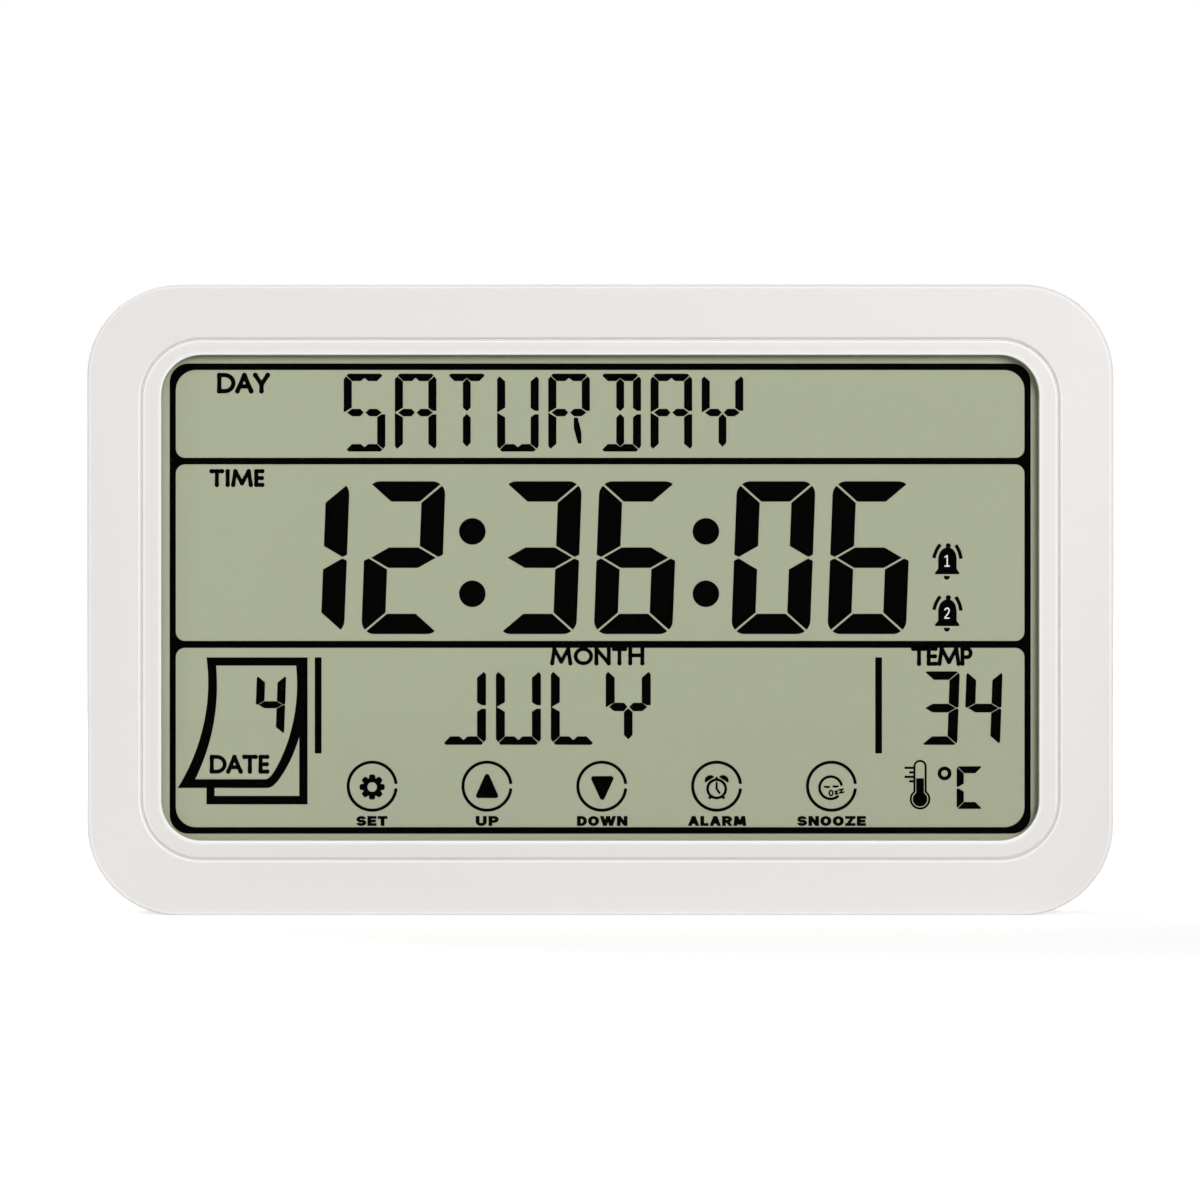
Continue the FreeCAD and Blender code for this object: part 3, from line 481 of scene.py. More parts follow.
# ------------------------ prints on the display
def frame_layers():
    """The black frame with its three clear panels."""
    outer_r, cut_r, small_r = 4.0, 4.4, 2.05
    left, right = -91.36, 91.3
    panels = [rounded_box(left, right, 98.18, 117.18, small_r, small_r, cut_r, cut_r),
              rounded_box(left, right, 58.8, 96.88, small_r),
              rounded_box(left, right, 18.73, 57.41, cut_r, cut_r, small_r, small_r)]
    return ink(rounded_box(-92.56, 92.52, 17.44, 118.47, outer_r, steps=16)) + clear(*panels)


def time_layers():
    """Six figures, and two dots after each of the first two pairs."""
    lefts = (-71.37, -50.75, -21.42, -0.75, 28.84, 49.49)
    digits = figures("123606", lefts, z0=60.35, w=16.83, h=32.8, upright=4.95, bar=4.28, gap=0.51,
                     radius=2.9, slant=0.038)
    dots = [disc(x, z, 2.8) for x in (-27.52, 22.72) for z in (82.41, 68.99)]
    return digits + ink(*dots)


def temperature_layers():
    """Two figures, a degree sign's ring and a C."""
    degrees = figures("34", (69.33, 78.54), z0=36.52, w=7.68, h=15.76, upright=2.05, bar=1.75, gap=0.25,
                      radius=1.0, slant=0.035)
    unit = figures("C", (76.7,), z0=22.75, w=5.52, h=9.1, upright=1.43, bar=1.4, gap=0.21, radius=0.65)
    ring = ink(disc(74.05, 30.35, 1.43)) + clear(disc(74.05, 30.35, 0.75))
    return degrees + unit + ring


def calendar_layers():
    """Two pages of a tear-off pad: the front page curls to the left, so the square back page shows beside
    and below it."""
    foot, foot_inside = sharp_box(-84.64, -63.02, 23.75, 28.5), sharp_box(-83.02, -64.69, 25.46, 28.8)
    side = sharp_box(-64.69, -63.02, 23.75, 55.24)
    front = outline(sweep((-84.64, 55.24), (-83.2, 45.2), (-86.0, 34.9), (-90.8, 27.27)),
                    sweep((-71.9, 27.27), (-70.7, 27.27), (-69.9, 28.0), (-68.98, 29.31), 8),
                    sweep((-68.98, 29.31), (-66.6, 32.7), (-63.9, 38.2), (-63.02, 48.0)), (-63.02, 55.24))
    page = outline(sweep((-82.69, 53.6), (-81.9, 44.5), (-83.55, 36.5), (-87.2, 29.05)),
                   sweep((-72.1, 29.05), (-71.4, 29.05), (-70.9, 29.6), (-70.09, 30.75), 8),
                   sweep((-70.09, 30.75), (-67.4, 35.2), (-64.3, 43.5), (-65.38, 53.6)))
    return ink(foot) + clear(foot_inside) + ink(side, front) + clear(page)


def divider_layers():
    """The uprights between the date, the month and the temperature."""
    return ink(*[rounded_box(x - 0.67, x + 0.67, 34.71, 55.25, 0.1, steps=3) for x in (-60.68, 59.87)])


def thermometer_layers():
    """A tube with a bulb, both drawn as a thin line round a filled column, and four marks beside it."""
    x, bulb_z = 68.78, 24.81
    marks = [pen_line([(start, z), (67.6, z)], 0.38, ends="flat")
             for start, z in ((65.5, 31.55), (66.5, 30.58), (65.5, 29.61), (66.5, 28.66))]
    outside = [disc(x, bulb_z, 2.16), rounded_box(x - 1.37, x + 1.37, bulb_z, 33.21, 0.1, 0.1, 1.37, 1.37)]
    inside = [disc(x, bulb_z, 1.83), rounded_box(x - 1.04, x + 1.04, bulb_z, 32.88, 0.1, 0.1, 1.04, 1.04)]
    column = [disc(x, bulb_z, 1.52), sharp_box(x - 0.785, x + 0.785, bulb_z, 29.24)]
    return ink(*marks, *outside) + clear(*inside) + ink(*column)


# alarm bells
bell_x = 74.71
bell_z = 69.59
bell_pitch = 11.16


def bell_shapes(drop):
    """A bell with its knob, skirt and clapper, and two curved strokes for its ringing."""
    body = outline((-1.97, 4.75), sweep((-1.97, 6.6), (-1.97, 8.3), (-1.1, 9.3), (0.03, 9.3), 10),
                   sweep((0.03, 9.3), (1.15, 9.3), (1.88, 8.3), (1.88, 6.6), 10), (1.88, 4.75),
                   (2.48, 3.87), (2.42, 3.67), (-2.66, 3.67), (-2.7, 3.87))
    knob = disc(0.14, 9.72, 0.5, 24)
    clapper = outline((-0.76, 3.2), (0.42, 3.2),
                      sweep((0.42, 3.0), (0.3, 2.6), (0.05, 2.48), (-0.17, 2.48), 6),
                      sweep((-0.17, 2.48), (-0.4, 2.48), (-0.64, 2.6), (-0.76, 3.0), 6))
    left = pen_line(sweep((-1.6, 9.95), (-2.2, 9.3), (-2.72, 8.2), (-2.93, 7.15), 10), 0.64, ends="flat")
    right = pen_line(sweep((1.78, 9.82), (2.35, 9.05), (2.75, 8.0), (2.85, 7.0), 10), 0.64, ends="flat")
    return [shape + [bell_x, bell_z - drop] for shape in (body, knob, clapper, left, right)]


def bell_figures():
    """A narrow 1 with a foot, and a 2."""
    one = [pen_line([(-0.1, 5.3), (-0.1, 7.62)], 0.4), pen_line([(-0.62, 7.28), (-0.1, 7.6)], 0.34),
           pen_line([(-0.58, 5.36), (0.34, 5.36)], 0.4)]
    two = [pen_line(outline(sweep((-0.58, 7.1), (-0.36, 7.6), (0.36, 7.7), (0.3, 6.9), 10),
                            sweep((0.29, 6.75), (0.19, 6.3), (-0.26, 5.9), (-0.58, 5.45), 8)), 0.4),
           pen_line([(-0.61, 5.33), (0.32, 5.33)], 0.4)]
    first = [shape + [bell_x, bell_z] for shape in one]
    return first + [shape + [bell_x, bell_z - bell_pitch] for shape in two]


# touch keys
key_xs = [-49.07 + 24.7 * number for number in range(5)]
set_x, alarm_x, snooze_x = key_xs[0], key_xs[3], key_xs[4]
key_z = 27.6
key_r = 5.16  # middle of the ring's line
key_line = 0.55


def key_ring_layers():
    """A ring round each key, open on the right."""
    half_gap = 6.0
    return ink(*[pen_line(arc(x, key_z, key_r, key_r, half_gap, 360 - half_gap, 96), key_line, ends="flat")
                 for x in key_xs])


def round_hull(corners, radius, steps=8):
    """The outline a fixed distance outside some corners, given anticlockwise: an arc round each of them,
    from the outward normal of the side before it to that of the side after it."""
    corners = np.asarray(corners, float)
    side = np.roll(corners, -1, axis=0) - corners
    heading = np.degrees(np.arctan2(-side[:, 0], side[:, 1]))
    before = np.roll(heading, 1)
    return outline(*[arc(*corner, radius, radius, start, start + (end - start) % 360, steps)
                     for corner, start, end in zip(corners, before, heading)])


def gear(x, z):
    """A wheel with eight teeth, a little wider at their roots and rounded at their tips."""
    tooth = round_hull([(-0.42, 1.3), (0.42, 1.3), (0.24, 2.31), (-0.24, 2.31)], 0.34) + [x, z]
    teeth = [turned(tooth, 45 * number, (x, z)) for number in range(8)]
    return ink(disc(x, z, 1.9), *teeth) + clear(disc(x, z, 1.08))


def alarm_clock(x, z):
    """A round clock with two half-round bells, a knob, two feet and its hands."""
    dome = arc(0, 0, 1.08, 0.86, 0, 180, 12)
    bells = [turned(dome, -side * 33, (0, 0)) + [x + side * 1.52, z + 1.97] for side in (-1, 1)]
    feet = [pen_line([(x + side * 1.18, z - 1.58), (x + side * 1.64, z - 2.04)], 0.48, ends="flat")
            for side in (-1, 1)]
    rim = ink(disc(x, z, 2.19)) + clear(disc(x, z, 1.73))
    hands = [pen_line([(x, z + 1.3), (x, z)], 0.34), pen_line([(x, z), (x + 0.6, z - 0.88)], 0.36)]
    return ink(*bells, *feet, disc(x, z + 2.28, 0.25, 24)) + rim + ink(*hands)


def sleeper(x, z):
    """A round face with closed eyes and an open mouth, its outline open where two letters Z drift out."""
    rim = pen_line(arc(x, z, 2.4, 2.4, 16, 309, 72), 0.46)
    eyes = []
    for ex, ez, tilt in ((-0.8, 0.22, -4), (1.06, 0.32, 2)):
        across = np.linspace(-0.46, 0.46, 11)
        lid = np.stack([across, -0.08 * np.cos(np.pi * across)], axis=1)
        eyes.append(pen_line(turned(lid, tilt, (0, 0)) + [x + ex, z + ez], 0.33))
    mouth = ink(arc(x + 0.07, z - 1.14, 0.5, 0.68, 0, 360, 32)[:-1])
    throat = clear(arc(x + 0.07, z - 1.14, 0.27, 0.44, 0, 360, 32)[:-1])
    letters = []
    for lx, lz, wide, high, turn in ((0.92, -1.48, 0.64, 0.8, 6), (1.8, -1.27, 1.14, 0.88, 12)):
        for shape in bold_letter("Z", x + lx, z + lz, wide, high, 0.33, 0.23):
            letters.append(turned(shape, turn, (x + lx, z + lz)))
    return ink(rim, *eyes) + mouth + throat + ink(*letters)


def key_symbol_layers():
    """A gear, an arrow up, an arrow down, an alarm clock and a sleeper."""
    round_r = 0.47
    up = round_hull([(-26.21, 25.57), (-22.48, 25.57), (-24.35, 29.7)], round_r)
    down = round_hull([(-1.45, 29.25), (0.44, 25.18), (2.32, 29.25)], round_r)
    return gear(set_x, 27.42) + ink(up, down) + alarm_clock(alarm_x, 27.03) + sleeper(snooze_x - 0.17, 27.27)


LABEL_WIDTHS = {"T": 0.82, "I": 0.21, "M": 1.23, "E": 0.555, "O": 1.08, "N": 0.895, "H": 0.88, "P": 0.63,
                "D": 0.9, "A": 0.88, "Y": 0.82}
KEY_WIDTHS = {"S": 1.02, "E": 0.92, "T": 0.98, "U": 1.12, "P": 1.03, "D": 1.02, "O": 1.13, "W": 1.65,
              "N": 1.07, "A": 1.15, "L": 0.82, "R": 1.05, "M": 1.31, "Z": 1.05}


def label_layers():
    """The names of the panels' figures, each with its own pen. Letters beside an A all but touch it."""
    # text, left, right, foot, top, pen
    places = (("DAY", -82.36, -71.11, 112.16, 116.44, 0.82), ("TIME", -83.98, -72.32, 92.04, 95.72, 0.74),
              ("MONTH", -10.7, 9.4, 53.68, 57.44, 0.7), ("TEMP", 66.94, 80.02, 53.57, 57.51, 0.72),
              ("DATE", -83.93, -71.26, 30.37, 34.28, 0.74))
    layers = []
    for text, *box, pen in places:
        layers += lettering(text, box, LABEL_WIDTHS, soft_letter, [pen], beside_a=0.01)
    return layers


def key_name_layers():
    """The names under the keys, in one size."""
    foot, top, stem, bar = 19.11, 21.13, 0.7, 0.5
    places = (("SET", -52.44, -45.84), ("UP", -26.74, -21.9), ("DOWN", -4.96, 5.8), ("ALARM", 18.92, 31.35),
              ("SNOOZE", 42.38, 57.09))
    layers = []
    for text, x0, x1 in places:
        layers += lettering(text, (x0, x1, foot, top), KEY_WIDTHS, bold_letter, [stem, bar])
    return layers


# ------------------------ front shell
def shell_ring(base, inset, depth):
    """One ring of the shell: a base rectangle drawn in by an inset, at a depth behind the front. All rings
    have the same number of points, corner by corner."""
    x0, x1, z0, z1, radius = base
    sharpest = 0.01
    flat = rounded_box(x0 + inset, x1 - inset, z0 + inset, z1 - inset, max(radius - inset, sharpest),
                       steps=corner_steps)
    return np.insert(flat, 1, front_y + depth, axis=1)


def bend(base, inset, depth, radius, start, end, steps):
    """Section steps on a circle about (inset, depth), between angles counted from +inset towards +depth."""
    angle = np.radians(np.linspace(start, end, steps + 1))
    return [(base, inset + radius * math.cos(a), depth + radius * math.sin(a)) for a in angle]


def front_shell():
    """The shell's section carried round the case, and how strongly each point carries a painted highlight.

    Each step of the section is a ring: the case's outline, the groove's or the window's rectangle, drawn in
    by an inset. Rings are joined point by point, and the last to the first, so the shell is closed.
    """
    case = (-half_w, half_w, 0.0, case_h, case_r)
    window = (-half_w + side_border, half_w - side_border, bottom_border, case_h - top_border, window_r)
    groove = (window[0] - lip_side, window[1] + lip_side, window[2] - lip_bottom, window[3] + lip_top,
              window_r + lip_side)
    joint = parting_y - front_y
    support, window_support = 0.24, 0.2  # from a rounding to the next ring
    crisp = 0.02  # the bevel of an inner corner
    face_support, wall_support = 0.5, 0.4  # from an inner corner to the next ring
    lip_ring = 1.0  # from the window's edge to a ring that keeps the lip flat
    groove_floor = 0.05  # half the width of the groove's floor, and how far it is filled
    half = groove_w / 2
    slope = math.degrees(math.atan2(groove_depth, half))
    rim = half + groove_rim * math.tan(math.radians(slope / 2))
    steps = [
        *bend(case, parting_round, joint - parting_round, parting_round, 90, 180, 4),
        (case, 0.0, joint - parting_round - support),
        (case, 0.0, front_round + support),
        *bend(case, front_round, front_round, front_round, 180, 270, 12),
        (case, front_round + support, 0.0),
        (groove, -rim - support, 0.0),
        *bend(groove, -rim, groove_rim, groove_rim, 270, 270 + slope, 8),
        (groove, -groove_floor, groove_depth - groove_floor),
        (groove, groove_floor, groove_depth - groove_floor),
        *bend(groove, rim, groove_rim, groove_rim, 270 - slope, 270, 8),
        (groove, rim + support, 0.0),
        (window, -lip_ring, 0.0),
        (window, -window_round - support, 0.0),
        *bend(window, -window_round, window_round, window_round, 270, 360, 8),
        (window, 0.0, window_round + window_support),
        (window, 0.0, face_wall - crisp),
        (window, -crisp, face_wall),
        (window, -face_support, face_wall),
        (case, wall + face_support, face_wall),
        (case, wall + crisp, face_wall),
        (case, wall, face_wall + crisp),
        (case, wall, face_wall + wall_support),
        (case, wall, joint - wall_support),
        (case, wall, joint - crisp),
        (case, wall - crisp, joint),
        (case, parting_round + crisp, joint),
    ]
    rings = np.array([shell_ring(*step) for step in steps])
    # painted highlight lines: base, middle of the line, its reach, its tilt, its share on upright stretches
    # and its most
    edges = ((case, 0.3, 0.4, 1, 1.0, 0.9), (groove, -0.53, 0.2, -1, 0.85, 1.0),
             (groove, 0.53, 0.2, 1, 0.85, 1.0), (window, -0.18, 0.25, -1, 1.0, 1.0),
             (window, -0.4, 0.3, -1, 0.0, 1.0))
    painted_highlight = np.max([painted_highlight_line(steps, *edge) for edge in edges], axis=0)
    return grid_mesh(rings), painted_highlight.ravel()


def painted_highlight_line(steps, base, middle, reach, tilt, upright, most):
    """How strongly the points along one edge carry a painted highlight, from 0 to most.

    Across the edge it is a plateau less the distance from the line's middle over its reach, kept within 0
    and 1. Round the edge it is the share on upright stretches plus the upward part of the edge's tilt, kept
    within 0 and 1 too, so rims that face up are painted brighter, as if lit from above. Behind a certain
    depth nothing is painted.
    """
    plateau = 1.6
    inside = 3.0
    turn = np.concatenate([np.linspace(180 + 90 * corner, 270 + 90 * corner, corner_steps + 1)
                           for corner in range(4)])
    facing = np.clip(upright + tilt * np.sin(np.radians(turn)), 0, 1) if upright < 1 else np.ones(len(turn))
    across = [max(0.0, min(1.0, plateau - abs(inset - middle) / reach)) if place is base and depth < inside
              else 0.0 for place, inset, depth in steps]
    return most * np.outer(across, facing)


def grid_mesh(rings, closed=True):
    """Vertices and quads of rings joined point by point and, if closed, the last ring to the first."""
    here = np.arange(rings.size // 3).reshape(rings.shape[:2])
    behind = np.roll(here, -1, axis=0)
    quads = np.stack([here, behind, np.roll(behind, -1, axis=1), np.roll(here, -1, axis=1)], axis=-1)
    if not closed:
        quads = quads[:-1]
    return rings.reshape(-1, 3), quads.reshape(-1, 4).tolist()


def tube_rings(x, z, outer, bore, root, end, bore_end):
    """A round boss with a blind bore from its end, as rings: its root, its side, its mouth and its bore."""
    around = 32
    tip = 0.001  # radius that stands for a point
    root_ring, bore_ring = 0.3, 0.1
    rim, mouth = 0.15, 0.12  # bevels of the outer and the inner edge
    section = np.array([(tip, root), (outer, root), (outer, root + root_ring), (outer, end - rim),
                        (outer - rim, end), (bore + mouth, end), (bore, end - mouth),
                        (bore, bore_end + bore_ring), (bore, bore_end), (tip, bore_end)])
    angle = np.linspace(0, 2 * np.pi, around + 1)[:-1]
    radius, depth = section[:, :1], section[:, 1:]
    y = front_y + depth + 0 * angle
    return np.stack([x + radius * np.cos(angle), y, z + radius * np.sin(angle)], axis=-1)


def boss_mesh():
    """Six bosses for the case screws and six short posts in one mesh, rooted a little inside the face."""
    boss_x = half_w - lip_and_gaps - boss_r
    post_x = half_w - lip_and_gaps - post_r
    mid_z = case_h / 2
    bosses = [(side * boss_x, z) for side in (-1, 1) for z in (case_r, mid_z, case_h - case_r)]
    posts = [(side * post_x, mid_z + up * side_post_spread / 2) for side in (-1, 1) for up in (-1, 1)]
    posts += [(side * bottom_post_x, lip_and_gaps + post_r) for side in (-1, 1)]
    joint = parting_y - front_y
    root, bore_end = face_wall - 0.3, face_wall + 0.05
    rings = [tube_rings(x, z, boss_r, boss_pilot_r, root, joint, joint - boss_pilot_l) for x, z in bosses]
    rings += [tube_rings(x, z, post_r, post_pilot_r, root, post_depth, bore_end) for x, z in posts]
    meshes = [grid_mesh(tube, closed=False) for tube in rings]
    count = len(meshes[0][0])
    faces = [np.array(quads) + number * count for number, (_, quads) in enumerate(meshes)]
    return np.vstack([points for points, _ in meshes]), np.vstack(faces).tolist()


# ------------------------ shared effects
def feed(tree, socket, value):
    """Gives an input its own number or colour, or joins it to another node's output."""
    if isinstance(value, bpy.types.NodeSocket):
        tree.links.new(value, socket)
    else:
        socket.default_value = value


def add(tree, kind, inputs=(), **settings):
    """A node with its attributes, and with what feeds its inputs, by their names or numbers."""
    node = tree.nodes.new("ShaderNode" + kind)
    for key, value in settings.items():
        setattr(node, key, value)
    for key, value in dict(inputs).items():
        feed(tree, node.inputs[key], value)
    return node


def object_place(tree):
    """Object coordinates, in metres."""
    return add(tree, "TexCoord").outputs["Object"]


def noise(tree, scale, detail, rough, place=None):
    """Noise on Object coordinates or on a place worked out from them, its scale in waves a metre."""
    inputs = {"Vector": place or object_place(tree), "Scale": scale, "Detail": detail, "Roughness": rough}
    return add(tree, "TexNoise", inputs).outputs["Fac"]


def calculate(tree, operation, *values):
    """A Math node's result; a value is a number or a socket."""
    return add(tree, "Math", enumerate(values), operation=operation).outputs[0]


def scaled(tree, value, factor, added):
    """A value times a factor, with a number or a socket added."""
    return calculate(tree, "ADD", calculate(tree, "MULTIPLY", value, factor), added)


def blend_colours(tree, share, first, second):
    """A colour between two, by a share from 0 to 1."""
    first_colour, second_colour, mixed_colour = 6, 7, 2
    inputs = {0: share, first_colour: first, second_colour: second}
    return add(tree, "Mix", inputs, data_type="RGBA").outputs[mixed_colour]


COLOUR, NUMBER, VECTOR = "NodeSocketColor", "NodeSocketFloat", "NodeSocketVector"


def new_group(name, inputs, outputs):
    """A shader node group, with what it is given and what it hands on. inputs are (name, kind, default)."""
    group = bpy.data.node_groups.new(name, "ShaderNodeTree")
    for label, kind, value in inputs:
        group.interface.new_socket(name=label, in_out="INPUT", socket_type=kind).default_value = value
    for label, kind in outputs:
        group.interface.new_socket(name=label, in_out="OUTPUT", socket_type=kind)
    return group, group.nodes.new("NodeGroupInput").outputs, group.nodes.new("NodeGroupOutput").inputs


def cloudy_tone():
    """Slow, faint changes of tone over a surface, as in moulded plastic: what a noise has above a level,
    stretched, leans the colour towards a second one."""
    grey, darker = (0.8, 0.8, 0.8, 1), (0.7, 0.7, 0.7, 1)
    group, given, handed = new_group(
        "cloudy tone", [("Colour", COLOUR, grey), ("Second colour", COLOUR, darker),
                        ("Waves a metre", NUMBER, 20.0), ("Amount", NUMBER, 0.5)], [("Colour", COLOUR)])
    level, stretch = 0.35, 3.0
    above = calculate(group, "SUBTRACT", noise(group, given["Waves a metre"], 3.0, 0.55), level)
    lean = calculate(group, "MULTIPLY", calculate(group, "MULTIPLY", above, stretch), given["Amount"])
    share = add(group, "Clamp", {"Value": lean}).outputs[0]
    feed(group, handed["Colour"], blend_colours(group, share, given["Colour"], given["Second colour"]))
    return group


def moulded_grain():
    """Fine spark-eroded texture: two octaves of small noise as a height, and a rubbed roughness that follows
    a slower noise."""
    group, given, handed = new_group(
        "moulded grain", [("Waves a metre", NUMBER, 2500.0), ("Roughness", NUMBER, 0.45),
                          ("Rubbing", NUMBER, 0.1)], [("Height", NUMBER), ("Roughness", NUMBER)])
    rub_waves, middle = 60.0, 0.5
    fine = noise(group, given["Waves a metre"], 2.0, 0.6)
    rub = calculate(group, "SUBTRACT", noise(group, rub_waves, 4.0, 0.6), middle)
    feed(group, handed["Height"], fine)
    rubbed = calculate(group, "MULTIPLY", rub, given["Rubbing"])
    feed(group, handed["Roughness"], calculate(group, "ADD", given["Roughness"], rubbed))
    return group


def worn_and_highlighted_edge():
    """A mask of the outward edges, paled both as handling wear and as a painted rim highlight: the surface's
    pointiness above its flat value times a reach, broken up by noise."""
    group, given, handed = new_group("worn and highlighted edge", [("Reach", NUMBER, 12.0)], [("Mask", NUMBER)])
    flat_value, speck_waves, middle = 0.51, 900.0, 0.5
    bent = add(group, "NewGeometry").outputs["Pointiness"]
    proud = calculate(group, "MULTIPLY", calculate(group, "SUBTRACT", bent, flat_value), given["Reach"])
    speckle = calculate(group, "SUBTRACT", noise(group, speck_waves, 3.0, 0.6), middle)
    broken = calculate(group, "ADD", proud, calculate(group, "MULTIPLY", speckle, proud))
    feed(group, handed["Mask"], add(group, "Clamp", {"Value": broken}).outputs[0])
    return group


def brushed_lines():
    """Drawn or rolled metal: noise stretched along one axis, as a height and a tone."""
    group, given, handed = new_group(
        "brushed lines", [("Along", VECTOR, (1.0, 1.0, 1.0)), ("Waves a metre", NUMBER, 900.0)],
        [("Height", NUMBER), ("Tone", NUMBER)])
    stretch = add(group, "VectorMath", {0: object_place(group), 1: given["Along"]}, operation="MULTIPLY")
    lines = noise(group, given["Waves a metre"], 3.0, 0.7, stretch.outputs[0])
    feed(group, handed["Height"], lines)
    feed(group, handed["Tone"], lines)
    return group


groups = {"tone": cloudy_tone(), "grain": moulded_grain(), "edge": worn_and_highlighted_edge(), "lines": brushed_lines()}


def use(tree, group, **values):
    """What a shared effect hands on in a material: underscores in a value's name stand for spaces."""
    inputs = {key.replace("_", " "): value for key, value in values.items()}
    return add(tree, "Group", inputs, node_tree=groups[group]).outputs


# ------------------------ materials
def start_material(name):
    """A material, its node tree and the inputs of its Principled shader."""
    material = bpy.data.materials.new(name)
    material.use_nodes = True
    tree = material.node_tree
    return material, tree, tree.nodes["Principled BSDF"].inputs


def shade(colour, factor):
    """The colour with each of its channels times a factor."""
    return tuple(channel * factor for channel in colour)


def clouded(tree, colour, second, waves, amount=0.5):
    """A colour that leans towards a second one in slow clouds."""
    colours = {"Colour": (*colour, 1), "Second_colour": (*second, 1)}
    return use(tree, "tone", Waves_a_metre=waves, Amount=amount, **colours)["Colour"]


def grained(tree, shader, waves, rough, rubbing=0.1):
    """Gives the shader the moulded grain's roughness, and the caller its height."""
    texture = use(tree, "grain", Waves_a_metre=waves, Roughness=rough, Rubbing=rubbing)
    feed(tree, shader["Roughness"], texture["Roughness"])
    return texture["Height"]


def bump(tree, shader, height, depth_mm):
    """A Bump node from a height to the shader's normal, its distance given in millimetres."""
    node = add(tree, "Bump", {"Distance": depth_mm * MM, "Strength": 1.0, "Height": height})
    feed(tree, shader["Normal"], node.outputs["Normal"])


def moulded(name, colour, rough, second, waves, amount, grain, depth, rubbing=0.1, edge=0.0, painted_highlight=None,
            specular=0.5):
    """Moulded, cast or pressed stuff: cloudy tone, fine grain, rubbed roughness and, if asked, paler edges
    that are part wear and part painted highlight, or lines of a painted highlight colour where the piece's
    attribute marks them."""
    material, tree, shader = start_material(name)
    base = clouded(tree, colour, shade(colour, second), waves, amount)
    # paler edges: part handling wear, part a painted rim highlight
    if edge > 0:
        wear_and_highlight_paling = 0.35
        pale = tuple(channel + (1 - channel) * wear_and_highlight_paling for channel in colour)
        base = blend_colours(tree, use(tree, "edge", Reach=edge)["Mask"], base, (*pale, 1))
    # painted highlight: the colour goes paler where the piece's attribute marks the rims
    if painted_highlight:
        line = add(tree, "Attribute", attribute_name="painted_highlight")
        base = blend_colours(tree, line.outputs["Fac"], base, (*painted_highlight, 1))
    feed(tree, shader["Base Color"], base)
    bump(tree, shader, grained(tree, shader, grain, rough, rubbing), depth)
    shader["Specular IOR Level"].default_value = specular
    return material


def plated(name, colour, rough, along, waves):
    """Plated or rolled metal: a metallic shader whose tone, roughness and height follow drawn lines."""
    material, tree, shader = start_material(name)
    lines = use(tree, "lines", Along=along, Waves_a_metre=waves)
    dull_waves, line_tone, line_rough = 180.0, 0.3, 0.2
    dulled = clouded(tree, colour, shade(colour, 0.7), dull_waves, 0.6)
    share = calculate(tree, "MULTIPLY", lines["Tone"], line_tone)
    feed(tree, shader["Base Color"], blend_colours(tree, share, dulled, (*shade(colour, 0.6), 1)))
    feed(tree, shader["Roughness"], scaled(tree, lines["Tone"], line_rough, rough - line_rough / 2))
    shader["Metallic"].default_value = 1.0
    bump(tree, shader, lines["Height"], 0.01)
    return material


def clear_sheet(name, colour, facing, grazing, rough):
    """A clear sheet by alpha: almost nothing square on, more of its gloss towards a glancing view."""
    material, tree, shader = start_material(name)
    tone_waves, grain_waves, steepness = 30.0, 400.0, 3.0
    feed(tree, shader["Base Color"], clouded(tree, colour, shade(colour, 0.85), tone_waves))
    grained(tree, shader, grain_waves, rough, 0.03)
    glance = add(tree, "LayerWeight", {"Blend": 0.5}).outputs["Facing"]
    curve = calculate(tree, "POWER", glance, steepness)
    feed(tree, shader["Alpha"], scaled(tree, curve, grazing - facing, facing))
    return material


def cell_material(name, row):
    """A dry cell's printed sleeve between bare steel ends: the sleeve where x lies within its length, with a
    band round it."""
    material, tree, shader = start_material(name)
    low, high = node_box(row)
    middle = (low[0] + high[0]) / 2 * MM
    bare_end = 1.6
    sleeve = (high[0] - low[0]) / 2 * MM - bare_end * MM
    band_place, band_half_m = 0.35, 0.004
    x = add(tree, "SeparateXYZ", {0: object_place(tree)}).outputs["X"]
    off = calculate(tree, "ABSOLUTE", calculate(tree, "SUBTRACT", x, middle))
    bare = calculate(tree, "GREATER_THAN", off, sleeve)
    body = clouded(tree, (0.05, 0.09, 0.16), (0.04, 0.07, 0.13), 90.0)
    along = calculate(tree, "SUBTRACT", x, middle + band_place * sleeve)
    band = calculate(tree, "LESS_THAN", calculate(tree, "ABSOLUTE", along), band_half_m)
    banded = blend_colours(tree, band, body, (0.62, 0.42, 0.16, 1))
    lines = use(tree, "lines", Along=(0.05, 1.0, 1.0), Waves_a_metre=1800.0)
    steel = blend_colours(tree, lines["Tone"], (0.62, 0.61, 0.58, 1), (0.45, 0.44, 0.42, 1))
    feed(tree, shader["Base Color"], blend_colours(tree, bare, banded, steel))
    feed(tree, shader["Metallic"], bare)
    sleeve_rough, steel_rough = 0.33, 0.28
    feed(tree, shader["Roughness"], scaled(tree, bare, steel_rough - sleeve_rough, sleeve_rough))
    bump(tree, shader, lines["Height"], 0.004)
    return material


